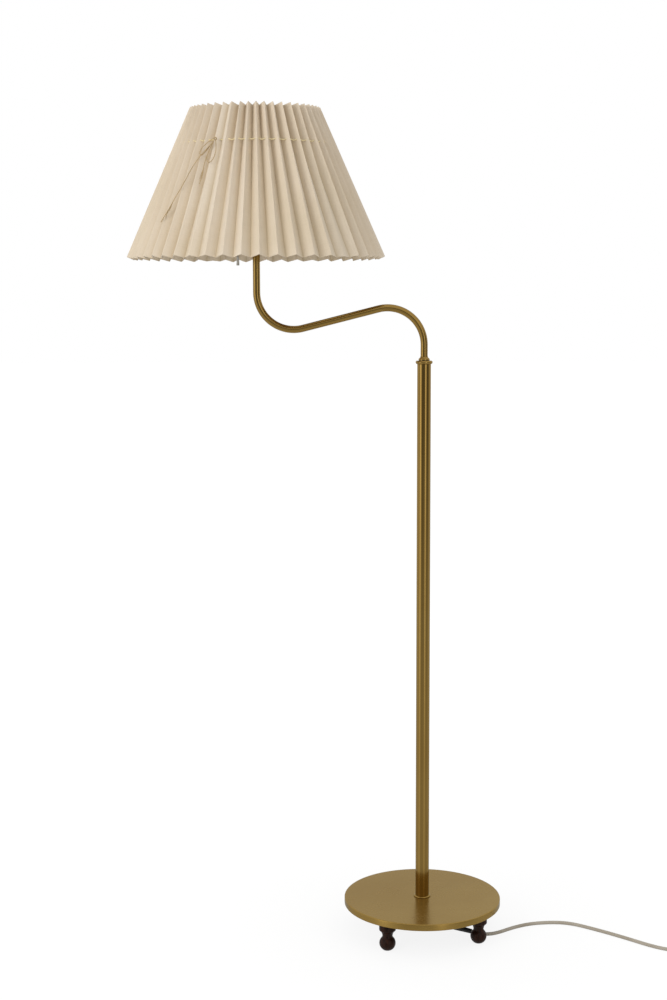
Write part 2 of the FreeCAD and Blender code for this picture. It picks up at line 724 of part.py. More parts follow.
def pull_chain():
    """Bead chain: balls on short links, one turned outline."""
    steps = []
    z = BELL_TOP_Z - 3.0
    half = math.sqrt(BEAD_CHAIN_R ** 2 - CHAIN_LINK_R ** 2)
    steps.append((CHAIN_LINK_R, z))
    centre = BELL_TOP_Z + 1.0 + half
    while centre + half < CHAIN_TOP_Z:
        steps.append((CHAIN_LINK_R, centre - half))
        steps.append(((BEAD_CHAIN_R, centre), (CHAIN_LINK_R, centre + half)))
        centre += CHAIN_PITCH
    last = steps[-1][1][1]
    return turned((0, z), *steps, (0, last)).translated(V(PULL_X, 0, 0))


def pull_bell():
    bore = CHAIN_LINK_R + 0.05
    bell = turned(
        (0, BELL_LOW_Z + 2.0), (1.4, BELL_LOW_Z), (2.2, BELL_LOW_Z),
        ((2.5, BELL_LOW_Z + 0.4), (2.5, BELL_LOW_Z + 1.0)), (2.0, BELL_TOP_Z - 5.0),
        ((1.7, BELL_TOP_Z - 1.4), (0.9, BELL_TOP_Z)), (0, BELL_TOP_Z))
    return bell.cut(rod(bore, BELL_TOP_Z - 3.0, BELL_TOP_Z + 1)).translated(V(PULL_X, 0, 0))


# ---- mains cord, from the column's axis ------------------------------------------------------
def mains_route():
    """By hand: out of the relief to the floor, behind the right foot and away to the right."""
    mouth = down_the_relief(RELIEF_STEM + RELIEF_TAPER)
    exit_point = polar(mouth.x, CORD_HEADING, mouth.z)
    led_out = polar(mouth.x + 18.5, CORD_HEADING,
                    mouth.z - 18.5 * math.tan(math.radians(RELIEF_SLOPE)))
    return [
        tuple(exit_point), tuple(led_out), (118, -34.5, FLOOR_CORD_Z),
        (134, -25.5, FLOOR_CORD_Z), (159, -5, FLOOR_CORD_Z), (189, 11.5, FLOOR_CORD_Z),
        (224, 18, FLOOR_CORD_Z), (257, 15, FLOOR_CORD_Z), (289, -6, FLOOR_CORD_Z),
        (340, -48, FLOOR_CORD_Z), (392, -98, FLOOR_CORD_Z), (430, -112, FLOOR_CORD_Z),
        (462, -112.5, COIL_LOW_Z), COIL_START]


COIL_LOW_Z = 4.1            # the lower layer lies on the tie's band
COIL_PITCH = 6.5
COIL_INNER_R = 25.5
COIL_TUCK = COIL_PITCH / (2 * math.pi)     # the half turn that climbs a layer tucks in by this
COIL_LAYER_TURNS = 3.375
COIL_OUTER_R = COIL_INNER_R + COIL_LAYER_TURNS * COIL_PITCH
COIL_HEADING = -6.0         # the cord runs into the coil this way
COIL_START = (492.0, -114.5, COIL_LOW_Z)
COIL_LEAD = 6.5             # straight ends of the coil's tube


def coil_centre():
    heading = math.radians(COIL_HEADING)
    x = COIL_START[0] + COIL_LEAD * math.cos(heading) - COIL_OUTER_R * math.sin(heading)
    y = COIL_START[1] + COIL_LEAD * math.sin(heading) + COIL_OUTER_R * math.cos(heading)
    return x, y


def coil_point(turn):
    """A point of the coil's centre line: in along the lower layer, up a layer, and out again."""
    spiral = COIL_LAYER_TURNS
    if turn < spiral:
        r = COIL_OUTER_R - COIL_PITCH * turn
        z = COIL_LOW_Z
    elif turn < spiral + 0.5:
        rise = (turn - spiral) / 0.5
        r = COIL_INNER_R - COIL_TUCK * math.sin(math.pi * rise)
        z = COIL_LOW_Z + COIL_PITCH * rise * rise * (3 - 2 * rise)
    else:
        r = COIL_INNER_R + COIL_PITCH * (turn - spiral - 0.5)
        z = COIL_LOW_Z + COIL_PITCH
    x, y = coil_centre()
    return V(x, y, 0) + polar(r, COIL_HEADING - 90 + 360 * turn, z)


def coil_tangent(turn):
    step = 1e-4
    return (coil_point(turn + step) - coil_point(turn - step)).normalize()


def coil_end():
    """Where the coil's tube ends, and the way it points there."""
    turns = 2 * COIL_LAYER_TURNS + 0.5
    tangent = coil_tangent(turns - 0.001)
    return coil_point(turns) + tangent * COIL_LEAD, tangent


def mains_coil():
    turns = 2 * COIL_LAYER_TURNS + 0.5
    steps = round(turns * 4)
    at = [turns * i / steps for i in range(steps + 1)]
    points = [coil_point(t) for t in at]
    level = [coil_tangent(min(max(t, 0.001), turns - 0.001)) for t in at]
    points[0] = coil_point(0)
    first_way = V(math.cos(math.radians(COIL_HEADING)), math.sin(math.radians(COIL_HEADING)), 0)
    level[0] = first_way
    edges = [Part.LineSegment(V(*COIL_START), points[0]).toShape()]
    for i in range(steps):
        edges += biarc(points[i], level[i], points[i + 1], level[i + 1])
    edges.append(Part.LineSegment(points[-1], coil_end()[0]).toShape())
    print("coil length", round(sum(e.Length for e in edges), 1),
          "least gap", round(least_gap(edges, CORD_R), 2))
    return swept(edges, CORD_R)


def least_gap(edges, r):
    """Least gap between stretches of a tube that lie more than a quarter turn apart."""
    pts = []
    run = 0.0
    for edge in edges:
        count = max(2, int(edge.Length / 2))
        for i in range(count):
            pts.append((run + edge.Length * i / count,
                        edge.valueAt(edge.getParameterByLength(edge.Length * i / count))))
        run += edge.Length
    apart = COIL_INNER_R * math.pi / 2
    return min(a[1].distanceToPoint(b[1]) for i, a in enumerate(pts)
               for b in pts[i + 1:] if b[0] - a[0] > apart) - 2 * r


PLUG_AXIS_Z = 6.9
TAIL_RUN = 17.0


def tail_route():
    """From the coil's end down to the plug, which lies beside the coil."""
    start, way = coil_end()
    side = V(way.y, -way.x, 0)
    forward = [0.0, 1.0, 2.05, 3.1]
    sideways = [0.0, 0.0, 1.1, 1.0]
    heights = [start.z, start.z, PLUG_AXIS_Z, PLUG_AXIS_Z]
    route = []
    for f, s, z in zip(forward, sideways, heights):
        p = start + way * (TAIL_RUN * f) + side * (2.2 * s)
        route.append((p.x, p.y, z))
    return route


def cord_tie():
    """Flat band round the coil's turns."""
    x, y = coil_centre()
    nearest = COIL_INNER_R - COIL_TUCK - CORD_R - 0.7
    farthest = COIL_OUTER_R + 0.2       # the turns have come this far in where the band is
    inner_wide = farthest - nearest
    low, high = COIL_LOW_Z - CORD_R - 0.25, COIL_LOW_Z + COIL_PITCH + CORD_R + 0.25
    band, width = 0.7, 9.0
    middle_r = (nearest + farthest) / 2
    outer = Part.makeBox(inner_wide + 2 * band, width, high - low + 2 * band,
                         V(middle_r - inner_wide / 2 - band, -width / 2, low - band))
    outer = outer.makeFillet(2.4, [e for e in outer.Edges if abs(e.tangentAt(0).y) > 0.9])
    inner = Part.makeBox(inner_wide, width + 2, high - low,
                         V(middle_r - inner_wide / 2, -width / 2 - 1, low))
    inner = inner.makeFillet(1.7, [e for e in inner.Edges if abs(e.tangentAt(0).y) > 0.9])
    return turn_about_z(outer.cut(inner), TIE_ANGLE).translated(V(x, y, 0))


TIE_ANGLE = 150.0
PLUG_LENGTH = 35.5
PLUG_WIDE = 35.3
PLUG_THICK = 13.6
PLUG_RELIEF = 22.0
PIN_SPACING = 18.6


def beside_coil(shape):
    """Places a plug that was modelled with its cord entry at the origin and its pins at +X."""
    route = tail_route()
    way = V(*route[-1]) - V(*route[-2])
    shape.rotate(V(0, 0, 0), UP, math.degrees(math.atan2(way.y, way.x)))
    shape.translate(V(route[-1][0], route[-1][1], PLUG_AXIS_Z))
    return shape


def plug_body():
    """Flat two-pin plug: a six-sided moulding with a tapering relief for the cord."""
    half = PLUG_WIDE / 2
    back = PLUG_RELIEF
    front = back + PLUG_LENGTH
    corners = [(back, 6.5), (back + 9, 11.5), (back + 21, half), (front, half - 0.6),
               (front, 0.6 - half), (back + 21, -half), (back + 9, -11.5), (back, -6.5)]
    low = -PLUG_THICK / 2
    wire = Part.makePolygon([V(x, y, low) for x, y in corners + corners[:1]])
    block = Part.Face(wire).extrude(V(0, 0, PLUG_THICK))
    upright = [e for e in block.Edges if abs(e.tangentAt(0).z) > 0.9]
    block = block.makeFillet(2.5, upright)
    rims = [e for e in block.Edges if abs(e.tangentAt(e.FirstParameter).z) < 0.1]
    block = block.makeFillet(2.0, rims)
    relief = Part.makeCone(CORD_R + 1.0, 5.6, back + 2, V(0, 0, 0), V(1, 0, 0))
    for i in range(4):
        groove = Part.makeTorus(5.0 + 0.22 * i, 0.7, V(4.5 + 4.2 * i, 0, 0), V(1, 0, 0))
        relief = relief.cut(groove)
    return beside_coil(block.fuse(relief).removeSplitter())


def plug_pins():
    """Two round pins, sleeved next to the body, with rounded tips."""
    face = PLUG_RELIEF + PLUG_LENGTH
    pins = []
    for side in (-1, 1):
        y = side * PIN_SPACING / 2
        sleeve = Part.makeCylinder(1.9, 10.0, V(face, y, 0), V(1, 0, 0))
        tip = Part.makeCylinder(2.0, 9.0, V(face + 10.0, y, 0), V(1, 0, 0))
        tip = tip.makeFillet(1.2, [e for e in tip.Edges if e.CenterOfMass.x > face + 18.9])
        pins.append(sleeve.fuse(tip))
    return beside_coil(Part.makeCompound(pins))


# ---- the sub-parts and where they go ---------------------------------------------------------
FOOT_NAMES = ("foot_front_right", "foot_rear_right", "foot_rear_left", "foot_front_left")


def round_the_column():
    parts = {
        "base_cover": base_cover(),
        "base_weight": base_weight(),
        "foot_studs": Part.makeCompound(four_of(foot_stud(), FOOT_FIRST_ANGLE)),
        "column_tube": tube(COLUMN_R, COLUMN_BORE, BASE_TOP_Z, COLUMN_TOP_Z),
        "column_foot_ring": column_foot_ring(),
        "column_plug": column_plug(),
        "base_nipple": tube(NIPPLE_R, NIPPLE_BORE, NIPPLE_LOW_Z, NIPPLE_TOP_Z),
        "clamp_washer": tube(20.0, NIPPLE_FIT, RECESS_Z - 2.0, RECESS_Z),
        "clamp_nut": clamp_nut(),
        "cord_relief": cord_relief(),
        "column_flex": column_flex(),
        "column_collar": column_collar(),
        "thrust_washer": tube(9.2, SLEEVE_R + SWIVEL_GAP, BEAD_TOP_Z, BEAD_TOP_Z + WASHER_T),
        "mains_cord": cord_along(mains_route(), CORD_R, "mains cord"),
        "mains_coil": mains_coil(),
        "mains_tail": cord_along(tail_route(), CORD_R, "mains tail"),
        "cord_tie": cord_tie(),
        "plug_body": plug_body(),
        "plug_pins": plug_pins(),
        "arm_tube": arm_tube(),
        "arm_ferrule": arm_ferrule(),
        "swivel_sleeve": swivel_sleeve(),
        "stop_pin": stop_pin(),
        "arm_flex": arm_flex(),
    }
    for name, solid in zip(FOOT_NAMES, four_of(foot(), FOOT_FIRST_ANGLE)):
        parts[name] = solid
    return parts


def round_the_shade():
    return {
        "holder_nipple": holder_nipple(),
        "holder_cup": holder_cup(),
        "pull_guide": pull_guide(),
        "switch_block": switch_block(),
        "holder_shell": holder_shell(),
        "holder_insert": holder_insert(),
        "screw_shell": screw_shell(),
        "centre_contact": centre_contact(),
        "shade_ring": shade_ring(),
        "fitter_ring": fitter_ring(),
        "fitter_spokes": fitter_spokes(),
        "frame_upper_ring": upper_ring(),
        "frame_lower_ring": lower_ring(),
        "frame_struts": frame_struts(),
        "shade_pleats": shade_pleats(),
        "draw_cord": draw_cord(),
        "draw_cord_bow": draw_cord_bow(),
        "bulb_cap": bulb_cap(),
        "bulb_glass": bulb_glass(),
        "pull_chain": pull_chain(),
        "pull_bell": pull_bell(),
    }


os.makedirs("parts", exist_ok=True)
for parts, axis_x in ((round_the_column(), COLUMN_X), (round_the_shade(), SHADE_X)):
    for name, shape in parts.items():
        placed = shape.translated(V(axis_x, 0, 0))
        for solid in placed.Solids:
            if not solid.isValid() or solid.Volume <= 0:
                print("check the solid of", name)
        placed.exportStep(f"parts/{name}.step")
        print(f"{name:18s} solids {len(placed.Solids)}  volume {placed.Volume / 1000:9.3f} cm3")
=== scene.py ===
"""Bridge floor lamp: a satin brass column on a weighted disc with four turned feet, a bent arm
that swivels on the column, and a pleated cotton shade drawn in by a cord.

Metres, +Z up. The column stands at COLUMN_X and the shade hangs round SHADE_X.
"""

import json
import math
import random

import bpy
from mathutils import Matrix, Vector

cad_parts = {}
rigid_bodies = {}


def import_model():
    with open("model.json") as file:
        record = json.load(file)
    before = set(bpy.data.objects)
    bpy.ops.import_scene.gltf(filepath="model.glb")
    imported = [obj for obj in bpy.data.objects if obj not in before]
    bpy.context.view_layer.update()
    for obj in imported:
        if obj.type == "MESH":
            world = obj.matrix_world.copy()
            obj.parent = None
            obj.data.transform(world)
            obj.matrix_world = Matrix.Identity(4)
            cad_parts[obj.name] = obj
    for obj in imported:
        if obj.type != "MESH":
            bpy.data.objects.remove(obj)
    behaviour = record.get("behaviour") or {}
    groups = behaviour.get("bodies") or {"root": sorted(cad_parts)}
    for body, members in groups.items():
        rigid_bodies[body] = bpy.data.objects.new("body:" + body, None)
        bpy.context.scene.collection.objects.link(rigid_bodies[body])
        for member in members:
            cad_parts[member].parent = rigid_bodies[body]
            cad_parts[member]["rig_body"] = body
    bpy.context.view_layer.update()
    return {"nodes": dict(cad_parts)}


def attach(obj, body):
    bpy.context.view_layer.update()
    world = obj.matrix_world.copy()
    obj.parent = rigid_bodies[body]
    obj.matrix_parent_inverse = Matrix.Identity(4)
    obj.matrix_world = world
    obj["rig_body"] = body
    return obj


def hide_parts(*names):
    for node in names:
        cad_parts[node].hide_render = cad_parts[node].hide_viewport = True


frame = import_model()
nodes = frame["nodes"]

MM = 0.001
COLUMN_X = 0.179
SHADE_X = -0.100
COLUMN_AT = Vector((179, 0, 0))      # the same two axes in millimetres
SHADE_AT = Vector((-100, 0, 0))

# the shade, in millimetres round its own axis
HEM_R, TOP_R = 214.0, 107.5
HEM_Z, TOP_Z = 1161.0, 1402.5
PLEATS = 48
FIRST_FOLD = -3.5
HEM_DEPTH, TOP_DEPTH, FOLD_DROP = 11.0, 14.0, 4.8
OPEN_PLEATS = ((41.5, 0.95), (-24.0, 0.45), (-71.0, 0.6), (101.5, 0.8), (154.0, 0.5),
               (-153.5, 0.9), (-108.0, 0.5))
DRAW_CORD_Z = 1343.0
CLOTH_WIDTH, CLOTH_LENGTH, CLOTH_THICKNESS = 1.745, 0.264, 0.0009     # metres, laid flat

# the stand, in millimetres round the column's axis
BASE_R, COVER_INSIDE_R = 135, 133.8
BASE_LOW_Z, COVER_UNDER_Z, BASE_TOP_Z = 48.2, 58.2, 59.4
NIPPLE_HOLE_R = 5.1
COLUMN_R, COLUMN_BORE = 11.6, 10.6
COLUMN_TOP_Z, BEAD_TOP_Z = 983, 988.6
COLLAR_LOW_Z, COLLAR_BORE = 937, 8.0
FOOT_CIRCLE_R, FIRST_FOOT = 112.5, -34.2

# the arm, in metres and degrees
ARM_R = 0.006
ARM_BEND_R, ARM_SLOPE = 0.0615, 14.15
ARM_LOW_Z, ARM_FIRST_BEND_Z, ARM_TOP_Z = 0.926, 1.015, 1.203

WELD = 2e-6                          # metres between points that count as one


# ---- camera -------------------------------------------------------------------------------
def set_camera():
    camera = bpy.data.objects.new("camera", bpy.data.cameras.new("camera"))
    bpy.context.scene.collection.objects.link(camera)
    camera.data.lens = 59.557
    camera.data.sensor_width = 36.0
    camera.data.clip_end = 50
    camera.matrix_world = (Matrix.Translation((0.0268, -2.7728, 1.1037))
                           @ Matrix.Rotation(math.radians(90 - 7.184), 4, "X")
                           @ Matrix.Rotation(math.radians(-0.174), 4, "Z"))
    bpy.context.scene.camera = camera


# ---- ways of making a piece ---------------------------------------------------------------
def put_down():
    """Leaves edit mode with nothing selected."""
    if bpy.context.object and bpy.context.object.mode != "OBJECT":
        bpy.ops.object.mode_set(mode="OBJECT")
    bpy.ops.object.select_all(action="DESELECT")


def place(piece, name, finish, body, replaces, sharp=35):
    """Brings the piece's place into its mesh, smooths and paints it, and sets it on its body."""
    put_down()
    piece.select_set(True)
    bpy.context.view_layer.objects.active = piece
    piece.name = piece.data.name = name
    bpy.ops.object.transform_apply(location=True, rotation=True, scale=True)
    bpy.ops.object.shade_smooth_by_angle(angle=math.radians(sharp))
    piece.data.materials.clear()
    piece.data.materials.append(finish)
    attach(piece, body)
    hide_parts(*replaces)
    piece.select_set(False)
    return piece


def turned(profile, x, y=0.0, steps=96):
    """Turns an outline of (radius, height) in millimetres round an upright axis, as on a lathe."""
    put_down()
    (r, z), rest = profile[0], profile[1:]
    bpy.ops.mesh.primitive_plane_add(size=MM, location=(x + r * MM, y, z * MM))
    piece = bpy.context.object
    bpy.ops.object.mode_set(mode="EDIT")
    bpy.ops.mesh.merge(type="CENTER")
    for next_r, next_z in rest:
        bpy.ops.mesh.extrude_vertices_move(
            TRANSFORM_OT_translate={"value": ((next_r - r) * MM, 0, (next_z - z) * MM)})
        r, z = next_r, next_z
    bpy.ops.mesh.select_all(action="SELECT")
    bpy.ops.mesh.spin(steps=steps, angle=2 * math.pi, center=(x, y, 0), axis=(0, 0, 1))
    bpy.ops.mesh.select_all(action="SELECT")
    bpy.ops.mesh.remove_doubles(threshold=WELD)
    bpy.ops.mesh.normals_make_consistent(inside=False)
    bpy.ops.object.mode_set(mode="OBJECT")
    return piece


def arc(centre, radius, start, end, steps=8):
    """Points (r, z) on an arc between two angles in degrees."""
    return [(centre[0] + radius * math.cos(math.radians(start + (end - start) * i / steps)),
             centre[1] + radius * math.sin(math.radians(start + (end - start) * i / steps)))
            for i in range(steps + 1)]


def bow_between(a, middle, b, steps=10):
    """Points on the arc from a through middle to b."""
    ax, ay = a
    mx, my = middle[0] - ax, middle[1] - ay
    bx, by = b[0] - ax, b[1] - ay
    d = 2 * (mx * by - my * bx)
    cx = (by * (mx * mx + my * my) - my * (bx * bx + by * by)) / d
    cy = (mx * (bx * bx + by * by) - bx * (mx * mx + my * my)) / d
    angles = [math.atan2(p[1] - cy, p[0] - cx) for p in ((0, 0), (mx, my), (bx, by))]
    turn = 1 if d > 0 else -1
    whole = (angles[2] - angles[0]) * turn % (2 * math.pi) * turn
    r = math.hypot(cx, cy)
    return [(ax + cx + r * math.cos(angles[0] + whole * i / steps),
             ay + cy + r * math.sin(angles[0] + whole * i / steps)) for i in range(steps + 1)]


def as_made(node, name, finish):
    """The node's own shape as one smooth skin."""
    put_down()
    cad = nodes[node]
    body = cad["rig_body"]
    piece = bpy.data.objects.new(name, cad.data.copy())
    bpy.context.scene.collection.objects.link(piece)
    piece.select_set(True)
    bpy.context.view_layer.objects.active = piece
    bpy.ops.object.mode_set(mode="EDIT")
    bpy.ops.mesh.select_all(action="SELECT")
    bpy.ops.mesh.remove_doubles(threshold=WELD)
    bpy.ops.object.mode_set(mode="OBJECT")
    return place(piece, name, finish, body, (node,), sharp=30)


def paint_node(node, finish):
    """Leaves the CAD node as it is, in its own finish."""
    cad = nodes[node]
    cad.data.materials.clear()
    cad.data.materials.append(finish)


def lay_spline(curve, points, radius, smooth):
    """Adds one open spline along points, with the cord's radius in metres at each of them."""
    spline = curve.splines.new("NURBS")
    spline.points.add(len(points) - 1)
    for point, place_at in zip(spline.points, points):
        point.co = (*place_at, 1)
        point.radius = radius
    spline.order_u = 3
    spline.use_endpoint_u = True
    spline.resolution_u = smooth


def new_curve(name, finish, round_steps):
    curve = bpy.data.curves.new(name, "CURVE")
    curve.dimensions = "3D"
    curve.bevel_depth = 1.0             # metres, times each point's radius
    curve.bevel_resolution = round_steps
    curve.materials.append(finish)
    return curve


def cord_line(name, points, radius, finish, smooth=8):
    """A cord along one smooth spline, in metres."""
    curve = new_curve(name, finish, 5)
    curve.use_fill_caps = True
    lay_spline(curve, points, radius, smooth)
    piece = bpy.data.objects.new(name, curve)
    bpy.context.scene.collection.objects.link(piece)
    return piece


def spline_points(piece):
    """The line that a cord's spline follows."""
    depth = piece.data.bevel_depth
    piece.data.bevel_depth = 0
    bpy.context.view_layer.update()
    line = bpy.data.meshes.new_from_object(piece)
    piece.data.bevel_depth = depth
    points = [v.co.copy() for v in line.vertices]
    bpy.data.meshes.remove(line)
    return points


def run_length(points):
    return sum((b - a).length for a, b in zip(points, points[1:]))


def polar(r, degrees, z=0.0):
    return Vector((r * math.cos(math.radians(degrees)), r * math.sin(math.radians(degrees)), z))


# ---- finishes -----------------------------------------------------------------------------
class Graph:
    """A node tree under construction: its nodes are added and linked one by one."""

    def __init__(self, tree):
        self.tree = tree

    def add(self, kind, **settings):
        """A shader node. Each setting is an attribute of it, or else the value of an input."""
        node = self.tree.nodes.new("ShaderNode" + kind)
        for key, value in settings.items():
            if hasattr(node, key):
                setattr(node, key, value)
            else:
                node.inputs[key.replace("_", " ")].default_value = value
        return node

    def link(self, out, into):
        self.tree.links.new(out, into)

    def put(self, socket, value):
        """Links another node's output to the socket, or sets it to a plain value."""
        if isinstance(value, bpy.types.NodeSocket):
            self.link(value, socket)
        else:
            socket.default_value = value

    def maths(self, operation, *values):
        node = self.add("Math", operation=operation)
        for socket, value in zip(node.inputs, values):
            self.put(socket, value)
        return node.outputs[0]

    def ranged(self, value, start, end, low=0.0, high=1.0, curve="LINEAR"):
        """Maps a value from start..end to low..high."""
        node = self.add("MapRange", interpolation_type=curve, From_Min=start, From_Max=end,
                        To_Min=low, To_Max=high)
        self.link(value, node.inputs["Value"])
        return node.outputs["Result"]

    def colours(self, value, *stops, curve="LINEAR"):
        """Colour over a value: stops are (place, (r, g, b))."""
        node = self.add("ValToRGB")
        ramp = node.color_ramp
        ramp.interpolation = curve
        while len(ramp.elements) < len(stops):
            ramp.elements.new(0.5)
        for element, (at, colour) in zip(ramp.elements, stops):
            element.position = at
            element.color = (*colour, 1)
        self.link(value, node.inputs["Fac"])
        return node.outputs["Color"]

    def mixed(self, share, a, b, way="MIX"):
        """Colour a, turned by share into b, or into their product with way MULTIPLY."""
        node = self.add("Mix", data_type="RGBA", blend_type=way)
        for name, value in (("Factor", share), ("A", a), ("B", b)):
            self.put(node.inputs[name], value)
        return node.outputs["Result"]

    def choose(self, share, a, b):
        """Shader a, turned by share into shader b."""
        node = self.add("MixShader")
        for socket, out in zip(node.inputs, (share, a, b)):
            self.link(out, socket)
        return node.outputs[0]

    def looked_at(self, rays):
        """1 where the camera looks, straight or through glass."""
        return self.maths("MAXIMUM", rays.outputs["Is Camera Ray"],
                          rays.outputs["Is Transmission Ray"])


class Finish(Graph):
    """A material on the Principled shader."""

    def __init__(self, name, colour, roughness, metallic=0.0, **more):
        self.material = bpy.data.materials.new(name)
        self.material.use_nodes = True
        super().__init__(self.material.node_tree)
        self.shader = self.tree.nodes["Principled BSDF"]
        self.shader.inputs["Base Color"].default_value = (*colour, 1)
        self.shader.inputs["Roughness"].default_value = roughness
        self.shader.inputs["Metallic"].default_value = metallic
        for socket, value in more.items():
            self.shader.inputs[socket.replace("_", " ")].default_value = value
        self.bumps = None

    def coords(self, scale=(1, 1, 1), move=(0, 0, 0), uv=False):
        source = self.add("UVMap", uv_map="cloth") if uv else self.add("TexCoord")
        mapping = self.add("Mapping", vector_type="POINT")
        mapping.inputs["Location"].default_value = [m * s for m, s in zip(move, scale)]
        mapping.inputs["Scale"].default_value = scale
        self.link(source.outputs["UV" if uv else "Object"], mapping.inputs["Vector"])
        return mapping.outputs["Vector"]

    def noise(self, vector, scale, detail=3.0, roughness=0.55):
        node = self.add("TexNoise", Scale=scale, Detail=detail, Roughness=roughness)
        self.link(vector, node.inputs["Vector"])
        return node.outputs["Fac"]

    def spread(self, pattern, low, high):
        """Maps the middle of a noise pattern's values to low..high."""
        return self.ranged(pattern, 0.3, 0.7, low, high)

    def times(self, a, b):
        """Multiplies two colours."""
        return self.mixed(1.0, a, b, "MULTIPLY")

    def into(self, socket, value):
        self.link(value, self.shader.inputs[socket])

    def bump(self, height, strength, distance):
        node = self.add("Bump", Strength=strength, Distance=distance)
        self.link(height, node.inputs["Height"])
        if self.bumps:
            self.link(self.bumps, node.inputs["Normal"])
        self.bumps = node.outputs["Normal"]
        self.link(self.bumps, self.shader.inputs["Normal"])


def srgb(*levels):
    """Linear colour from display levels 0 to 255."""
    return tuple((v / 255 / 12.92) if v < 10.3 else ((v / 255 + 0.055) / 1.055) ** 2.4
                 for v in levels)


def brass_finish(name, brushing_scale, axis_x=None, roughness=0.11, coat=0.22, metal=1.0):
    """Satin brass, darkened by age under clear lacquer. brushing_scale is the brushing's scale
    along X, Y and Z, or None for concentric brushing round axis_x."""
    made = Finish(name, srgb(158, 127, 64), roughness, metal, Coat_Weight=coat,
                  Coat_Roughness=0.08, Specular_Tint=(0.6, 0.62, 0.6, 1))
    base = made.coords()
    tone = made.noise(base, 5.0, 4.0)
    patina = made.noise(base, 34.0, 5.0, 0.6)
    colour = made.colours(tone, (0.3, srgb(153, 121, 58)), (0.55, srgb(158, 127, 64)),
                          (0.75, srgb(164, 134, 71)))
    spots = made.colours(patina, (0.0, (1, 1, 1)), (0.66, (1, 1, 1)), (0.84, (0.88, 0.82, 0.7)))
    made.into("Base Color", made.times(colour, spots))
    if brushing_scale:
        brushing = made.noise(made.coords(scale=brushing_scale), 1.0, 2.0, 0.5)
    else:
        centred = made.coords(move=(-axis_x, 0, 0), scale=(1, 1, 0))
        length = made.add("VectorMath", operation="LENGTH")
        made.link(centred, length.inputs[0])
        rings = made.add("CombineXYZ")
        made.link(length.outputs["Value"], rings.inputs["X"])
        brushing = made.noise(rings.outputs["Vector"], 1300.0, 2.0, 0.5)
    handled = made.noise(base, 17.0, 5.0, 0.62)
    worn = made.spread(handled, roughness - 0.02, roughness + 0.04)
    made.into("Roughness", made.maths("ADD", worn, made.spread(brushing, -0.015, 0.025)))
    made.bump(brushing, 0.03, 0.00001)
    return made.material


def cloth_finish():
    """Unbleached woven cotton: slubs and weave along the strip, with painted shade darkening each
    fold's valley and a painted highlight on each outer fold.
    """
    cloth = Finish("pleated_cotton", srgb(224, 209, 187), 0.88, Sheen_Weight=0.18,
                   Sheen_Roughness=0.5, Specular_IOR_Level=0.25)
    tone = cloth.noise(cloth.coords(uv=True), 3.2, 4.0)
    slub = cloth.noise(cloth.coords(scale=(60, 1400, 1), uv=True), 1.0, 3.0, 0.6)
    warp = cloth.noise(cloth.coords(scale=(1500, 50, 1), uv=True), 1.0, 3.0, 0.6)
    colour = cloth.colours(tone, (0.32, srgb(216, 200, 174)), (0.52, srgb(224, 209, 187)),
                           (0.7, srgb(230, 217, 198)))
    thread = cloth.colours(cloth.maths("ADD", slub, warp), (0.75, (0.93, 0.92, 0.9)),
                           (1.05, (1, 1, 1)))
    along = cloth.add("SeparateXYZ")
    cloth.link(cloth.coords(scale=(PLEATS / CLOTH_WIDTH, 1, 1), uv=True), along.inputs[0])
    from_valley = cloth.maths("ABSOLUTE", cloth.maths(
        "SUBTRACT", cloth.maths("FRACT", along.outputs["X"]), 0.5))
    # painted shade: darker and yellower towards each valley; painted highlight: a thin lighter
    # line on each outer fold
    painted_fold_shade_and_highlight = cloth.colours(from_valley, (0.0, (0.70, 0.65, 0.54)), (0.09, (0.86, 0.83, 0.76)),
                           (0.28, (1, 1, 1)), (0.44, (1, 1, 1)), (0.49, (1.05, 1.05, 1.05)))
    cloth.into("Base Color", cloth.times(cloth.times(colour, thread), painted_fold_shade_and_highlight))
    for scale in ((2500, 0, 0), (0, 2500, 0)):
        wave = cloth.add("TexWave", wave_type="BANDS", bands_direction="DIAGONAL", Scale=0.314,
                         Distortion=0.6)
        cloth.link(cloth.coords(scale=scale, uv=True), wave.inputs["Vector"])
        cloth.bump(wave.outputs["Fac"], 0.25, 0.0001)
    cloth.bump(slub, 0.3, 0.0002)
    return cloth.material


def twine_finish():
    twine = Finish("twisted_cotton", srgb(184, 158, 114), 0.9, Sheen_Weight=0.3,
                   Specular_IOR_Level=0.2)
    strand = twine.noise(twine.coords(), 1400, 3)
    twine.into("Base Color", twine.colours(strand, (0.3, srgb(160, 134, 94)),
                                           (0.7, srgb(198, 173, 130))))
    twine.bump(strand, 0.6, 0.0002)
    return twine.material


def wood_finish():
    wood = Finish("stained_turned_wood", srgb(40, 20, 13), 0.45, Coat_Weight=0.06,
                  Coat_Roughness=0.25, Specular_IOR_Level=0.12)
    grain = wood.noise(wood.coords(scale=(260, 260, 12)), 1.0, 4.0, 0.6)
    pores = wood.noise(wood.coords(scale=(900, 900, 45)), 1.0, 2.0, 0.5)
    colour = wood.colours(grain, (0.3, srgb(27, 13, 6)), (0.5, srgb(41, 21, 11)),
                          (0.72, srgb(60, 31, 17)))
    dark = wood.colours(pores, (0.3, (0.55, 0.5, 0.5)), (0.42, (1, 1, 1)))
    wood.into("Base Color", wood.times(colour, dark))
    wood.into("Roughness", wood.spread(grain, 0.4, 0.52))
    wood.bump(pores, 0.25, 0.00012)
    return wood.material


def flex_finish():
    flex = Finish("flex_sheath", srgb(176, 166, 150), 0.42, Specular_IOR_Level=0.45)
    dull = flex.noise(flex.coords(), 30, 4)
    flex.into("Base Color", flex.colours(dull, (0.3, srgb(166, 156, 139)),
                                         (0.7, srgb(184, 175, 160))))
    flex.into("Roughness", flex.spread(dull, 0.36, 0.52))
    flex.bump(flex.noise(flex.coords(), 700, 3), 0.12, 0.0001)
    return flex.material


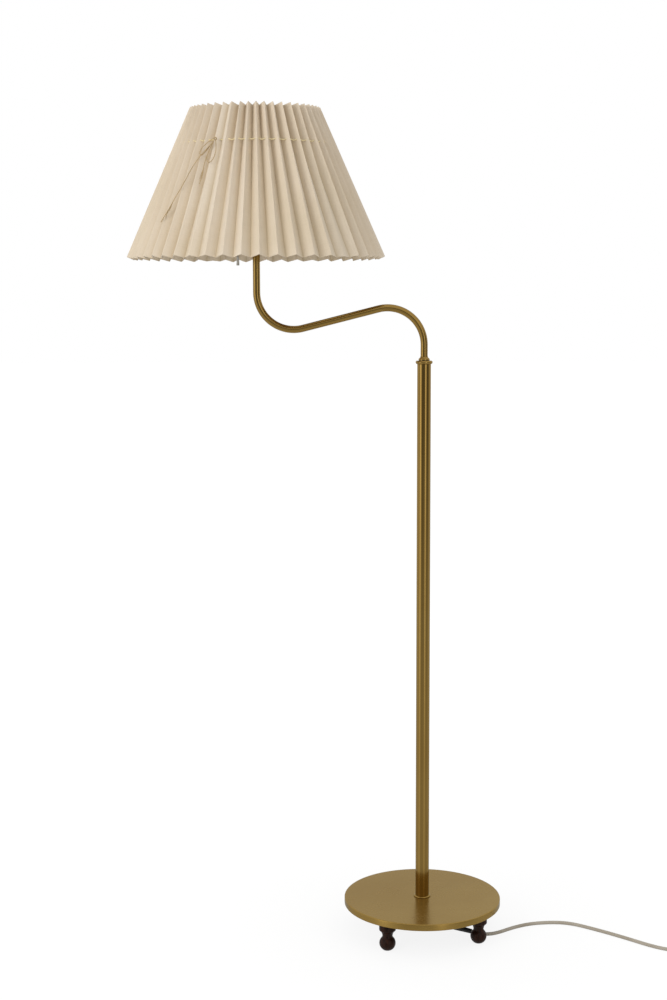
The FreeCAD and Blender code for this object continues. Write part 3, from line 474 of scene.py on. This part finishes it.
def iron_finish():
    iron = Finish("painted_iron", srgb(38, 37, 36), 0.6)
    cast = iron.noise(iron.coords(), 160, 5, 0.6)
    iron.into("Base Color", iron.colours(cast, (0.35, srgb(30, 29, 28)), (0.7, srgb(52, 50, 48))))
    iron.bump(cast, 0.5, 0.0004)
    return iron.material


def resin_finish():
    resin = Finish("brown_resin", srgb(58, 38, 30), 0.4)
    resin.into("Base Color", resin.colours(resin.noise(resin.coords(), 300, 4),
                                           (0.35, srgb(46, 30, 24)), (0.7, srgb(68, 46, 36))))
    return resin.material


# Finishes of one colour. Relief is a noise's scale, detail and stretch along Z, with the bump's
# strength and depth. Wear is a noise's scale, detail and stretch, with the roughness it gives.
EVEN_FINISHES = {
    "wire": dict(name="cream_wire", levels=(214, 206, 182), roughness=0.42,
                 relief=(900, 2, 1, 0.15, 0.0001), wear=(60, 3, 1, 0.34, 0.5)),
    "cord": dict(name="draw_cord", levels=(232, 216, 170), roughness=0.85,
                 relief=(1400, 3, 1, 0.5, 0.0002), Sheen_Weight=0.3, Specular_IOR_Level=0.2),
    "plug": dict(name="plug_moulding", levels=(178, 168, 152), roughness=0.38,
                 relief=(1300, 2, 1, 0.2, 0.00008), wear=(25, 3, 1, 0.32, 0.48)),
    "rubber": dict(name="black_rubber", levels=(26, 24, 23), roughness=0.55,
                   relief=(1100, 3, 1, 0.3, 0.0001), wear=(40, 3, 1, 0.48, 0.66)),
    "band": dict(name="tie_band", levels=(22, 22, 23), roughness=0.7,
                 relief=(900, 3, 0.2, 0.4, 0.0002)),
    "steel": dict(name="plated_steel", levels=(186, 186, 184), roughness=0.34, metallic=1.0,
                  relief=(1500, 2, 1, 0.1, 0.00005), wear=(90, 4, 1, 0.26, 0.44)),
    "nickel": dict(name="satin_nickel", levels=(200, 198, 192), roughness=0.42, metallic=0.75,
                   relief=(2000, 2, 1, 0.08, 0.00004), wear=(220, 3, 1, 0.36, 0.5)),
    "porcelain": dict(name="glazed_porcelain", levels=(236, 232, 220), roughness=0.16,
                      relief=(120, 2, 1, 0.1, 0.0002), Coat_Weight=0.4),
    "nylon": dict(name="nylon", levels=(34, 30, 26), roughness=0.5,
                  relief=(1500, 2, 1, 0.15, 0.00005)),
    "opal": dict(name="opal_glass", levels=(240, 238, 228), roughness=0.12,
                 wear=(40, 3, 1, 0.08, 0.2), Coat_Weight=0.3, Transmission_Weight=0.12),
    "aluminium": dict(name="drawn_aluminium", levels=(200, 200, 198), roughness=0.3,
                      metallic=1.0, wear=(60, 3, 30, 0.24, 0.4)),
}


def even_finish(name, levels, roughness, relief=None, wear=None, **more):
    made = Finish(name, srgb(*levels), roughness, **more)
    if relief:
        scale, detail, stretch, strength, depth = relief
        pattern = made.noise(made.coords(scale=(1, 1, stretch)), scale, detail)
        made.bump(pattern, strength, depth)
    if wear:
        scale, detail, stretch, smoothest, roughest = wear
        pattern = made.noise(made.coords(scale=(1, 1, stretch)), scale, detail)
        made.into("Roughness", made.spread(pattern, smoothest, roughest))
    return made.material


def make_finishes():
    kinds = {
        "column": brass_finish("drawn_brass_column", (500, 500, 6)),
        "arm": brass_finish("drawn_brass_arm", (60, 60, 60), roughness=0.15),
        "disc": brass_finish("turned_brass_disc", None, COLUMN_X, roughness=0.24, coat=0.05,
                             metal=0.82),
        "collar": brass_finish("turned_brass_collar", (40, 40, 1500), roughness=0.13),
        "holder": brass_finish("turned_brass_holder", (40, 40, 1500), roughness=0.25),
        "cloth": cloth_finish(), "twine": twine_finish(), "wood": wood_finish(),
        "flex": flex_finish(), "iron": iron_finish(), "resin": resin_finish(),
    }
    for kind, facts in EVEN_FINISHES.items():
        kinds[kind] = even_finish(**facts)
    return kinds


# ---- mains cord ---------------------------------------------------------------------------
FLOOR_CORD_Z = 3.05
CORD_HEADING = -19.0
MAINS_ROUTE = [             # millimetres from the column's axis
    (118, -34.5, FLOOR_CORD_Z), (134, -25.5, FLOOR_CORD_Z), (159, -5, FLOOR_CORD_Z),
    (189, 11.5, FLOOR_CORD_Z), (224, 18, FLOOR_CORD_Z), (257, 15, FLOOR_CORD_Z),
    (289, -6, FLOOR_CORD_Z), (340, -48, FLOOR_CORD_Z), (392, -98, FLOOR_CORD_Z),
    (430, -112, FLOOR_CORD_Z), (462, -112.5, 4.1)]
COIL_LOW_Z = 4.1
COIL_PITCH = 6.5
COIL_INNER_R = 25.5
COIL_TUCK = COIL_PITCH / (2 * math.pi)
COIL_LAYER_TURNS = 3.375
COIL_OUTER_R = COIL_INNER_R + COIL_LAYER_TURNS * COIL_PITCH
COIL_HEADING = -6.0
COIL_START = Vector((492.0, -114.5, COIL_LOW_Z))
COIL_LEAD = 6.5
CORD_STRAIGHT = 18.5         # the cord's straight run out of the relief
PLUG_AXIS_Z = 6.9
PLUG_STEP, PLUG_ASIDE = 17.0, 2.2
RELIEF_SLOPE = math.radians(8.0)
RELIEF_ELBOW_R, RELIEF_ELBOW_Z, RELIEF_RUN = 16.0, 32.1, 17.0 + 59.0
MAINS_FLEX_R = 0.003         # metres


def relief_mouth():
    """Where the cord leaves the rubber relief, and the way it points there."""
    turn = math.radians(270) - RELIEF_SLOPE
    r = RELIEF_ELBOW_R * (1 + math.cos(turn)) + RELIEF_RUN * math.cos(RELIEF_SLOPE)
    z = RELIEF_ELBOW_Z + RELIEF_ELBOW_R * math.sin(turn) - RELIEF_RUN * math.sin(RELIEF_SLOPE)
    way = polar(math.cos(RELIEF_SLOPE), CORD_HEADING, -math.sin(RELIEF_SLOPE))
    return polar(r, CORD_HEADING, z), way


def coil_point(turn, outward=1.0):
    """The coil's line: inwards on the lower layer, up, and outwards on the upper one."""
    if turn < COIL_LAYER_TURNS:
        r, z = COIL_OUTER_R - COIL_PITCH * turn, COIL_LOW_Z
    elif turn < COIL_LAYER_TURNS + 0.5:
        rise = (turn - COIL_LAYER_TURNS) / 0.5
        r = COIL_INNER_R - COIL_TUCK * math.sin(math.pi * rise)
        z = COIL_LOW_Z + COIL_PITCH * rise * rise * (3 - 2 * rise)
    else:
        r = COIL_INNER_R + COIL_PITCH * (turn - COIL_LAYER_TURNS - 0.5)
        z = COIL_LOW_Z + COIL_PITCH
    heading = math.radians(COIL_HEADING)
    way = Vector((math.cos(heading), math.sin(heading), 0))
    centre = COIL_START + way * COIL_LEAD + Vector((-way.y, way.x, 0)) * COIL_OUTER_R
    return Vector((centre.x, centre.y, 0)) + polar(r * outward, COIL_HEADING - 90 + 360 * turn, z)


def mains_cord_points():
    mouth, way = relief_mouth()
    points = [mouth, mouth + way * (CORD_STRAIGHT / math.cos(RELIEF_SLOPE))]
    points += [Vector(p) for p in MAINS_ROUTE] + [COIL_START.copy()]
    turns, per_turn = 2 * COIL_LAYER_TURNS + 0.5, 16
    outward = 8 / (6 + 2 * math.cos(2 * math.pi / per_turn))
    points += [coil_point(i / per_turn, outward) for i in range(1, int(turns * per_turn))]
    end = coil_point(turns)
    way = (end - coil_point(turns - 0.001)).normalized()
    end += way * COIL_LEAD
    side = Vector((way.y, -way.x, 0))
    points += [end - way * COIL_LEAD, end]
    for ahead, aside, z in ((1.0, 0.0, end.z), (2.05, 1.1, PLUG_AXIS_Z),
                            (3.1, 1.0, PLUG_AXIS_Z)):
        p = end + way * (PLUG_STEP * ahead) + side * (PLUG_ASIDE * aside)
        points.append(Vector((p.x, p.y, z)))
    return [(p + COLUMN_AT) * MM for p in points]


def make_mains_cord(kinds):
    points = mains_cord_points()
    cord = cord_line("mains_flex", points, MAINS_FLEX_R, kinds["flex"], smooth=6)
    cord.data.bevel_resolution = 6
    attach(cord, "stand")
    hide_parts("mains_cord", "mains_coil", "mains_tail")
    length = run_length(spline_points(cord))
    tie = as_made("cord_tie", "hook_band", kinds["band"])
    body = as_made("plug_body", "mains_plug", kinds["plug"])
    pins = as_made("plug_pins", "mains_plug_pins", kinds["nickel"])


# ---- shade --------------------------------------------------------------------------------
def cone_r(z):
    """Radius of the outer folds at height z."""
    return TOP_R + (TOP_Z - z) / (TOP_Z - HEM_Z) * (HEM_R - TOP_R)


def hem_wander(from_front):
    """How far a fold strays sideways at the hem, in degrees."""
    a = math.radians(from_front)
    return 1.05 * math.sin(a + 1.04) + 1.73 * math.sin(3 * a - 1.01) + 0.54 * math.sin(
        6 * a + 2.22)


def hem_flatness(from_front):
    """How far the pleats are pulled open at the hem, from 0 to 1."""
    share = 0.0
    for at, most in OPEN_PLEATS:
        away = (from_front - at + 180) % 360 - 180
        share += most * math.exp(-(away / 5.0) ** 2)
    return share


class Fold:
    """One pressed fold of the cloth, from hem to top edge."""

    def __init__(self, k, chance):
        self.inner = k % 2
        from_front = FIRST_FOLD + k * 180.0 / PLEATS
        self.flat = self.inner + (0.5 - self.inner) * hem_flatness(from_front)
        self.hem_angle = from_front - 90 + hem_wander(from_front)
        self.top_angle = from_front - 90 - 1.2 * math.sin(6 * math.radians(from_front))
        # one pleat left of the front was pressed shallow at the top edge
        self.pressed = 0.55 if k == 2 * PLEATS - 5 else 0.0
        self.bend = chance.uniform(-0.9, 0.9)
        self.sway = chance.uniform(-0.25, 0.25)

    def at(self, t):
        """The fold's point at share t of the way up, in millimetres round the shade's axis."""
        hem_r = HEM_R - HEM_DEPTH * self.flat - 0.15
        top_r = TOP_R - TOP_DEPTH * self.inner * (1 - self.pressed)
        start = polar(hem_r, self.hem_angle, HEM_Z - FOLD_DROP * self.flat)
        end = polar(top_r, self.top_angle, TOP_Z - FOLD_DROP * self.inner)
        point = start.lerp(end, t)
        swell = math.sin(math.pi * t)
        r = math.hypot(point.x, point.y) + (self.bend - 0.9) * 0.5 * swell
        angle = math.degrees(math.atan2(point.y, point.x)) + self.sway * swell
        return polar(r, angle, point.z)


def make_shade(kinds):
    """The cloth starts as the flat strip that it was cut to, and is folded into its pleats."""
    chance = random.Random(11)
    count = 2 * PLEATS
    across = (0.0, 0.045, 0.16, 0.38, 0.62, 0.84, 0.955)
    columns, rows = count * len(across), 30
    put_down()
    bpy.ops.mesh.primitive_grid_add(x_subdivisions=columns, y_subdivisions=rows, size=1)
    strip = bpy.context.object
    strip.data.uv_layers[0].name = "cloth"
    for corner in strip.data.uv_layers[0].data:
        corner.uv = (corner.uv[0] * CLOTH_WIDTH, corner.uv[1] * CLOTH_LENGTH)
    folds = [Fold(k, chance) for k in range(count)]
    slack = [chance.uniform(-0.7, 0.7) for _ in range(count)]
    flutter = [chance.uniform(0, 2 * math.pi) for _ in range(count)]
    for vertex in strip.data.vertices:
        column = round((vertex.co.x + 0.5) * columns) % columns
        t = vertex.co.y + 0.5
        k, w = column // len(across), across[column % len(across)]
        here, there = folds[k], folds[(k + 1) % count]
        a, b = here.at(t), there.at(t)
        point = a.lerp(b, w)
        run = b - a
        out = Vector((run.y, -run.x, 0)).normalized()
        belly = math.sin(math.pi * w)
        point += out * belly * (slack[k] * (0.35 + 0.65 * (1 - t))
                                + 0.25 * math.sin(9 * t + flutter[k]))
        if w == 0.0:                       # a pressed fold is round, not a knife edge
            before = folds[k - 1].at(t)
            point = point.lerp((before + b) / 2, 0.022)
        vertex.co = (point + SHADE_AT) * MM
    bpy.ops.object.mode_set(mode="EDIT")
    bpy.ops.mesh.select_all(action="SELECT")
    bpy.ops.mesh.remove_doubles(threshold=1e-6)
    bpy.ops.mesh.normals_make_consistent(inside=False)
    bpy.ops.object.mode_set(mode="OBJECT")
    thick = strip.modifiers.new("cloth", "SOLIDIFY")
    thick.thickness = CLOTH_THICKNESS
    thick.offset = -1
    bpy.ops.object.modifier_apply(modifier="cloth")
    place(strip, "pleated_shade", kinds["cloth"], "arm", ("shade_pleats",), sharp=50)
    return folds


def make_draw_cord(kinds, folds):
    """The cord threaded through the pleats shows as a short slack stitch in each valley."""
    put_down()
    per_fold = 6
    bpy.ops.mesh.primitive_torus_add(
        major_radius=(cone_r(DRAW_CORD_Z) - 6.6) * MM, minor_radius=0.0009,
        major_segments=len(folds) * per_fold, minor_segments=10,
        location=(SHADE_X, 0, DRAW_CORD_Z * MM))
    ring = bpy.context.object
    up = (DRAW_CORD_Z - HEM_Z) / (TOP_Z - HEM_Z)
    angles = [math.degrees(math.atan2(p.y, p.x)) + 90 for p in (f.at(up) for f in folds)]
    angles = [a + 360 if a < angles[0] - 1 else a for a in angles] + [angles[0] + 360]
    for vertex in ring.data.vertices:
        place_at = vertex.co.copy()
        turn = math.degrees(math.atan2(place_at.y, place_at.x)) % 360
        k, between = divmod(turn / 360 * len(folds), 1)
        angle = angles[int(k)] * (1 - between) + angles[int(k) + 1] * between
        valley = 1 - abs(math.cos(math.pi / 2 * (k % 2 + between)))
        flat = polar(math.hypot(place_at.x, place_at.y), angle - 90)
        vertex.co = (flat.x, flat.y, place_at.z - 0.0022 * valley)
    place(ring, "threaded_draw_cord", kinds["cord"], "arm", ("draw_cord",))


BOW_ANGLE = -114.5
TWINE_R = 0.0006            # metres
BOW_KNOT = ((-2.4, -1.2, 0.6), (-0.6, -2.0, 1.6), (1.2, -0.6, 0.8), (1.4, 1.4, -0.6),
            (-0.2, 2.6, -0.8), (-2.0, 1.6, 0.6), (-1.6, -0.6, 2.2), (0.4, -1.2, 2.4),
            (1.8, 0.4, 1.0), (0.6, 2.2, 0.0), (-1.4, 2.8, 0.4), (-2.6, 1.0, 1.4))
BOW_LOOP_LARGE = ((0, 2, 0.4), (4.5, 12, 1.5), (5.5, 25, 1.0), (1.5, 37, 0.4), (-6, 39, 0.4),
                  (-9.5, 29, 1.0), (-6, 15, 1.4), (-1.6, 4, 1.8))
BOW_LOOP_SMALL = ((-2, 0, 2.4), (-10, 4.5, 2.8), (-19, 11.5, 1.8), (-24.5, 18, 0.6),
                  (-24.5, 25, 0.4), (-18.5, 26.5, 0.4), (-12, 19, 0.8), (-4, 8, 3.2))
BOW_TAIL_LONG = ((-1, 6, 4.4), (-14, 20, 3.4), (-28, 34, 0.3), (-38, 52, 0.1), (-46, 72, 0.3),
                 (-58, 92, 0.1), (-68, 112, 0.3), (-80, 130, 0.1))
BOW_TAIL_SHORT = ((-3.2, 5, 0.6), (-9, 24, 0.4), (-12, 42, 0.1), (-10, 58, 0.3), (-13, 72, 0.1))


def on_shade(side, drop, lift):
    """A point off the outer folds: side and drop in millimetres from the bow's place."""
    z = DRAW_CORD_Z - drop
    r = cone_r(z) + 2.2 + lift
    return (polar(r, BOW_ANGLE + math.degrees(side / r), z) + SHADE_AT) * MM


def make_bow(kinds):
    knot = cord_line("bow_knot", [on_shade(*p) for p in BOW_KNOT], 0.0007, kinds["twine"])
    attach(knot, "arm")
    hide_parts("draw_cord_bow")
    chance = random.Random(5)
    for name, route, end in (("bow_large_loop", BOW_LOOP_LARGE, "object"),
                             ("bow_small_loop", BOW_LOOP_SMALL, "object"),
                             ("bow_long_tail", BOW_TAIL_LONG, "bare"),
                             ("bow_short_tail", BOW_TAIL_SHORT, "bare")):
        points = [on_shade(*p) for p in route]
        strand = cord_line(name, points, TWINE_R, kinds["twine"])
        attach(strand, "arm")
        line = spline_points(strand)
        pieces = [knot] if name == "bow_large_loop" else []
        if end == "bare":
            pieces.append(make_tassel(kinds, name + "_fray", line, chance))


def make_tassel(kinds, name, line, chance):
    """The loosened end of a twisted cord: fine yarns that part a little as they hang."""
    curve = new_curve(name, kinds["twine"], 1)
    for _ in range(14):
        start = line[-1 - chance.randrange(6, 14)]
        way = (line[-1] - line[-8]).normalized()
        side = way.cross(Vector((0, -1, 0))).normalized()
        spread = chance.uniform(-1, 1)
        length = chance.uniform(0.010, 0.019)
        yarn = []
        for i in range(4):
            share = i / 3
            yarn.append(start + way * length * share
                        + side * 0.0022 * spread * share ** 1.4
                        + Vector((0, -0.0006 * chance.random(), -0.0025 * share * share)))
        lay_spline(curve, yarn, 0.00017, smooth=4)
    piece = bpy.data.objects.new(name, curve)
    bpy.context.scene.collection.objects.link(piece)
    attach(piece, "arm")
    return piece


# ---- stand --------------------------------------------------------------------------------
def make_stand(kinds):
    disc = turned(
        [(NIPPLE_HOLE_R, BASE_TOP_Z), (60, BASE_TOP_Z), (120, BASE_TOP_Z), (132.6, BASE_TOP_Z)]
        + arc((133.5, 57.9), 1.5, 90, 0, 6)
        + [(BASE_R, 50.2), (BASE_R, 48.7), (134.5, BASE_LOW_Z), (COVER_INSIDE_R, BASE_LOW_Z),
           (COVER_INSIDE_R, COVER_UNDER_Z), (NIPPLE_HOLE_R, COVER_UNDER_Z),
           (NIPPLE_HOLE_R, BASE_TOP_Z)], COLUMN_X, steps=192)
    place(disc, "base_disc", kinds["disc"], "stand", ("base_cover",))

    ring = turned(
        [(11.65, BASE_TOP_Z), (14.2, BASE_TOP_Z)]
        + bow_between((14.2, BASE_TOP_Z), (14.6, 60.3), (13.9, 61.3), 6)[1:]
        + [(13.0, 61.8), (11.65, 61.8), (11.65, BASE_TOP_Z)], COLUMN_X)
    place(ring, "column_base_ring", kinds["collar"], "stand", ("column_foot_ring",))

    tube = turned(
        [(COLUMN_BORE, BASE_TOP_Z), (COLUMN_R, BASE_TOP_Z), (COLUMN_R, 290), (COLUMN_R, 520),
         (COLUMN_R, 750), (COLUMN_R, 982.6), (11.2, COLUMN_TOP_Z), (COLUMN_BORE, COLUMN_TOP_Z),
         (COLUMN_BORE, BASE_TOP_Z)], COLUMN_X)
    place(tube, "column", kinds["column"], "stand", ("column_tube",))

    bead = turned(
        [(COLLAR_BORE, COLLAR_LOW_Z), (10.35, COLLAR_LOW_Z), (10.35, COLUMN_TOP_Z),
         (12.6, COLUMN_TOP_Z)]
        + bow_between((12.6, COLUMN_TOP_Z), (14.3, 985.8), (12.6, BEAD_TOP_Z), 12)[1:]
        + [(COLLAR_BORE, BEAD_TOP_Z), (COLLAR_BORE, COLLAR_LOW_Z)], COLUMN_X)
    place(bead, "column_bead", kinds["collar"], "stand", ("column_collar",))

    foot_line = (
        [(0, 0), (6.0, 0)] + bow_between((6.82, 0.25), (13.8, 12.0), (9.7, 21.6), 18)
        + bow_between((9.5, 21.9), (8.6, 24.2), (9.0, 26.6), 6)[1:]
        + bow_between((9.0, 26.6), (10.4, 30.8), (13.6, 34.2), 7)[1:]
        + [(14.1, 34.9), (14.2, 36.0), (14.2, 47.4), (13.6, BASE_LOW_Z), (0, BASE_LOW_Z)])
    for i, node in enumerate(("foot_front_right", "foot_rear_right", "foot_rear_left",
                              "foot_front_left")):
        at = polar(FOOT_CIRCLE_R, FIRST_FOOT + 90 * i) * MM
        foot = turned(foot_line, COLUMN_X + at.x, at.y, steps=64)
        place(foot, "turned_" + node, kinds["wood"], "stand", (node,), sharp=40)


# ---- arm and pull --------------------------------------------------------------------------
def make_arm(kinds):
    """Bent as a tube bender does it: a round section is drawn up, turned over, led down the
    slope, turned up again and drawn on into the shade."""
    bend, slope = ARM_BEND_R, math.radians(ARM_SLOPE)
    over = math.pi / 2 + slope
    first = Vector((COLUMN_X - bend, 0, ARM_FIRST_BEND_Z))
    run_start = first + bend * Vector((math.cos(over), 0, math.sin(over)))
    run_end_x = SHADE_X + bend + bend * math.sin(slope)
    run = (run_start.x - run_end_x) / math.cos(slope)
    down = Vector((-math.cos(slope), 0, -math.sin(slope)))
    run_end = run_start + down * run
    second = Vector((SHADE_X + bend, 0, run_end.z + bend * math.cos(slope)))
    put_down()
    bpy.ops.mesh.primitive_circle_add(vertices=48, radius=ARM_R, fill_type="NGON",
                                      location=(COLUMN_X, 0, ARM_LOW_Z))
    arm = bpy.context.object
    bpy.ops.object.mode_set(mode="EDIT")
    bpy.ops.mesh.extrude_region_move(
        TRANSFORM_OT_translate={"value": (0, 0, ARM_FIRST_BEND_Z - ARM_LOW_Z)})
    bpy.ops.mesh.spin(steps=36, angle=over, center=first, axis=(0, 1, 0))
    bpy.ops.mesh.extrude_region_move(TRANSFORM_OT_translate={"value": down * run})
    bpy.ops.mesh.spin(steps=36, angle=over, center=second, axis=(0, -1, 0))
    bpy.ops.mesh.extrude_region_move(
        TRANSFORM_OT_translate={"value": (0, 0, ARM_TOP_Z - second.z)})
    bpy.ops.mesh.select_all(action="SELECT")
    bpy.ops.mesh.remove_doubles(threshold=1e-6)
    bpy.ops.mesh.normals_make_consistent(inside=False)
    bpy.ops.object.mode_set(mode="OBJECT")
    place(arm, "bent_arm", kinds["arm"], "arm", ("arm_tube",))

    ferrule = turned(
        [(6.02, 989.3), (9.3, 989.3), (9.4, 990.7)]
        + bow_between((9.4, 990.7), (8.6, 992.3), (7.2, 993.3), 6)[1:]
        + bow_between((7.2, 993.3), (6.7, 994.1), (6.5, 995.7), 5)[1:]
        + [(6.02, 995.9), (6.02, 989.3)], COLUMN_X)
    place(ferrule, "arm_base_ferrule", kinds["collar"], "arm", ("arm_ferrule",))


def make_pull(kinds):
    """Bead chain with its bell."""
    x = SHADE_X - 0.0306
    link_r, bead_r, pitch, bell_top = 0.6, 1.6, 4.4, 1165
    chain_low, chain_top = 1162, 1219.5
    half = math.sqrt(bead_r ** 2 - link_r ** 2)
    line = []
    centre = bell_top + 1.0 + half
    while centre + half < chain_top:
        line += bow_between((link_r, centre - half), (bead_r, centre), (link_r, centre + half), 8)
        last = centre + half
        centre += pitch
    chain = turned([(0, chain_low), (link_r, chain_low)] + line + [(0, last)], x, steps=16)
    place(chain, "bead_chain", kinds["nickel"], "pull", ("pull_chain",))
    bell = turned(
        [(0, 1149), (1.4, 1147), (2.1, 1147), (2.45, 1147.3), (2.5, 1148.0), (2.0, 1160)]
        + bow_between((2.0, 1160), (1.7, 1163.6), (0.9, bell_top), 6)[1:] + [(0, bell_top)],
        x, steps=32)
    place(bell, "chain_bell", kinds["nickel"], "pull", ("pull_bell",))


# ---- the rest as made ---------------------------------------------------------------------
# node: the piece made of it, its finish and its slot
AS_MADE = {
    "cord_relief": ("rubber_relief", "rubber", "black_rubber"),
    "holder_cup": ("lampholder_cup", "holder", "brass"),
    "pull_guide": ("chain_guide", "holder", "brass"),
    "holder_shell": ("lampholder_shell", "holder", "brass"),
    "shade_ring": ("lampholder_ring", "holder", "brass"),
    "fitter_ring": ("shade_fitter_ring", "wire", "wire"),
    "fitter_spokes": ("shade_fitter_spokes", "wire", "wire"),
    "frame_upper_ring": ("shade_upper_ring", "wire", "wire"),
    "frame_lower_ring": ("shade_lower_ring", "wire", "wire"),
    "frame_struts": ("shade_struts", "wire", "wire"),
    "bulb_glass": ("bulb_globe", "opal", "opal_glass"),
    "base_weight": ("iron_weight", "iron", "iron"),
    "clamp_nut": ("base_nut", "steel", "steel"),
    "clamp_washer": ("base_washer", "steel", "steel"),
    "holder_insert": ("porcelain_insert", "porcelain", "porcelain"),
}
# nodes that stay as they are: node and finish
PAINTED = {
    "foot_studs": "steel", "column_plug": "steel", "base_nipple": "steel",
    "column_flex": "flex", "thrust_washer": "nylon", "swivel_sleeve": "collar",
    "stop_pin": "steel", "arm_flex": "flex", "holder_nipple": "steel",
    "switch_block": "resin", "screw_shell": "holder", "centre_contact": "holder",
    "bulb_cap": "aluminium",
}


# ---- floor and light --------------------------------------------------------------------------
def make_stage():
    """A pale floor that fades into the white background away from the column."""
    put_down()
    far = 8                             # the floor's middle lies this far behind the object
    bpy.ops.mesh.primitive_plane_add(size=30, location=(0, far, 0))
    floor = bpy.context.object
    floor.name = "floor"
    floor.visible_glossy = False        # brass shows the room's own pale floor instead
    paint = bpy.data.materials.new("floor_paint")
    paint.use_nodes = True
    graph = Graph(paint.node_tree)
    shader = graph.tree.nodes["Principled BSDF"]
    shader.inputs["Base Color"].default_value = (0.82, 0.82, 0.81, 1)
    shader.inputs["Roughness"].default_value = 0.9
    glow = graph.add("Emission", Strength=1.06)
    away = graph.add("VectorMath", operation="DISTANCE")
    away.inputs[1].default_value = (COLUMN_X, -far, 0)
    graph.link(graph.add("TexCoord").outputs["Object"], away.inputs[0])
    fade = graph.ranged(away.outputs["Value"], 0.1, 1.2, 0.82, 1.0, "SMOOTHSTEP")
    share = graph.maths("MULTIPLY", graph.looked_at(graph.add("LightPath")), fade)
    seen = graph.choose(share, shader.outputs[0], glow.outputs[0])
    from_below = graph.choose(graph.add("NewGeometry").outputs["Backfacing"], seen,
                              graph.add("BsdfTransparent").outputs[0])
    graph.link(from_below, graph.tree.nodes["Material Output"].inputs["Surface"])
    floor.data.materials.append(paint)


ROUND_THE_ROOM = (          # degrees from the photographer's side, and how bright the room is
    (-180, 1.0), (-136, 0.98), (-104, 0.76), (-78, 0.60), (-60, 1.95), (-45, 0.62),
    (-28, 0.10), (-6, 0.20), (13, 0.22), (25, 1.85), (37, 0.55), (58, 0.06), (80, 0.34),
    (104, 0.72), (136, 1.0), (180, 1.0))
BRIGHTEST = 2.0
CEILING = 0.85
PALE_FLOOR = 0.62
LAMPS = (                   # name, place, aim, size, power
    ("window", (-2.0, -2.1, 1.9), (-0.1, 0, 1.0), 1.5, 27),
    ("fill", (2.4, -2.0, 1.6), (0, 0, 0.9), 1.6, 4))


def room_level(level):
    """The grey of a level, as a share of the brightest part of the room."""
    return [level / BRIGHTEST] * 3


def make_light():
    """White where the camera looks, even light on the object, and a studio room with windows and
    dark corners in what the brass reflects."""
    scene = bpy.context.scene
    scene.view_settings.view_transform = "Standard"
    world = scene.world or bpy.data.worlds.new("studio")
    scene.world = world
    world.use_nodes = True
    world.node_tree.nodes.clear()
    graph = Graph(world.node_tree)
    rays = graph.add("LightPath")
    parts = graph.add("SeparateXYZ")
    graph.link(graph.add("TexCoord").outputs["Generated"], parts.inputs[0])
    azimuth = graph.maths("ARCTAN2", parts.outputs["X"],
                          graph.maths("MULTIPLY", parts.outputs["Y"], -1))
    room = graph.colours(
        graph.ranged(azimuth, -math.pi, math.pi),
        *[(degrees / 360 + 0.5, room_level(level)) for degrees, level in ROUND_THE_ROOM],
        curve="EASE")
    overhead = graph.ranged(parts.outputs["Z"], 0.05, 0.5, curve="SMOOTHSTEP")
    room = graph.mixed(overhead, room, (*room_level(CEILING), 1))
    below = graph.ranged(parts.outputs["Z"], -0.02, -0.32, 0.0, 0.8, "SMOOTHSTEP")
    room = graph.mixed(below, room, (*room_level(PALE_FLOOR), 1))

    def background(strength, colour):
        node = graph.add("Background", Strength=strength)
        graph.put(node.inputs["Color"], colour)
        return node.outputs[0]

    white = (1, 1, 1, 1)
    lit = graph.choose(rays.outputs["Is Glossy Ray"], background(0.74, white),
                       background(BRIGHTEST, room))
    graph.link(graph.choose(graph.looked_at(rays), lit, background(1.0, white)),
               graph.add("OutputWorld").inputs["Surface"])

    for name, at, aim, size, power in LAMPS:
        lamp = bpy.data.lights.new(name, "AREA")
        lamp.shape = "DISK"
        lamp.size = size
        lamp.energy = power
        holder = bpy.data.objects.new(name, lamp)
        bpy.context.scene.collection.objects.link(holder)
        holder.location = at
        holder.visible_glossy = False
        holder.rotation_euler = (Vector(aim) - Vector(at)).to_track_quat("-Z", "Y").to_euler()


set_camera()
kinds = make_finishes()
make_mains_cord(kinds)
folds = make_shade(kinds)
make_draw_cord(kinds, folds)
make_bow(kinds)
make_stand(kinds)
make_arm(kinds)
make_pull(kinds)
for node, (name, kind, slot) in AS_MADE.items():
    as_made(node, name, kinds[kind])
for node, kind in PAINTED.items():
    paint_node(node, kinds[kind])
make_stage()
make_light()
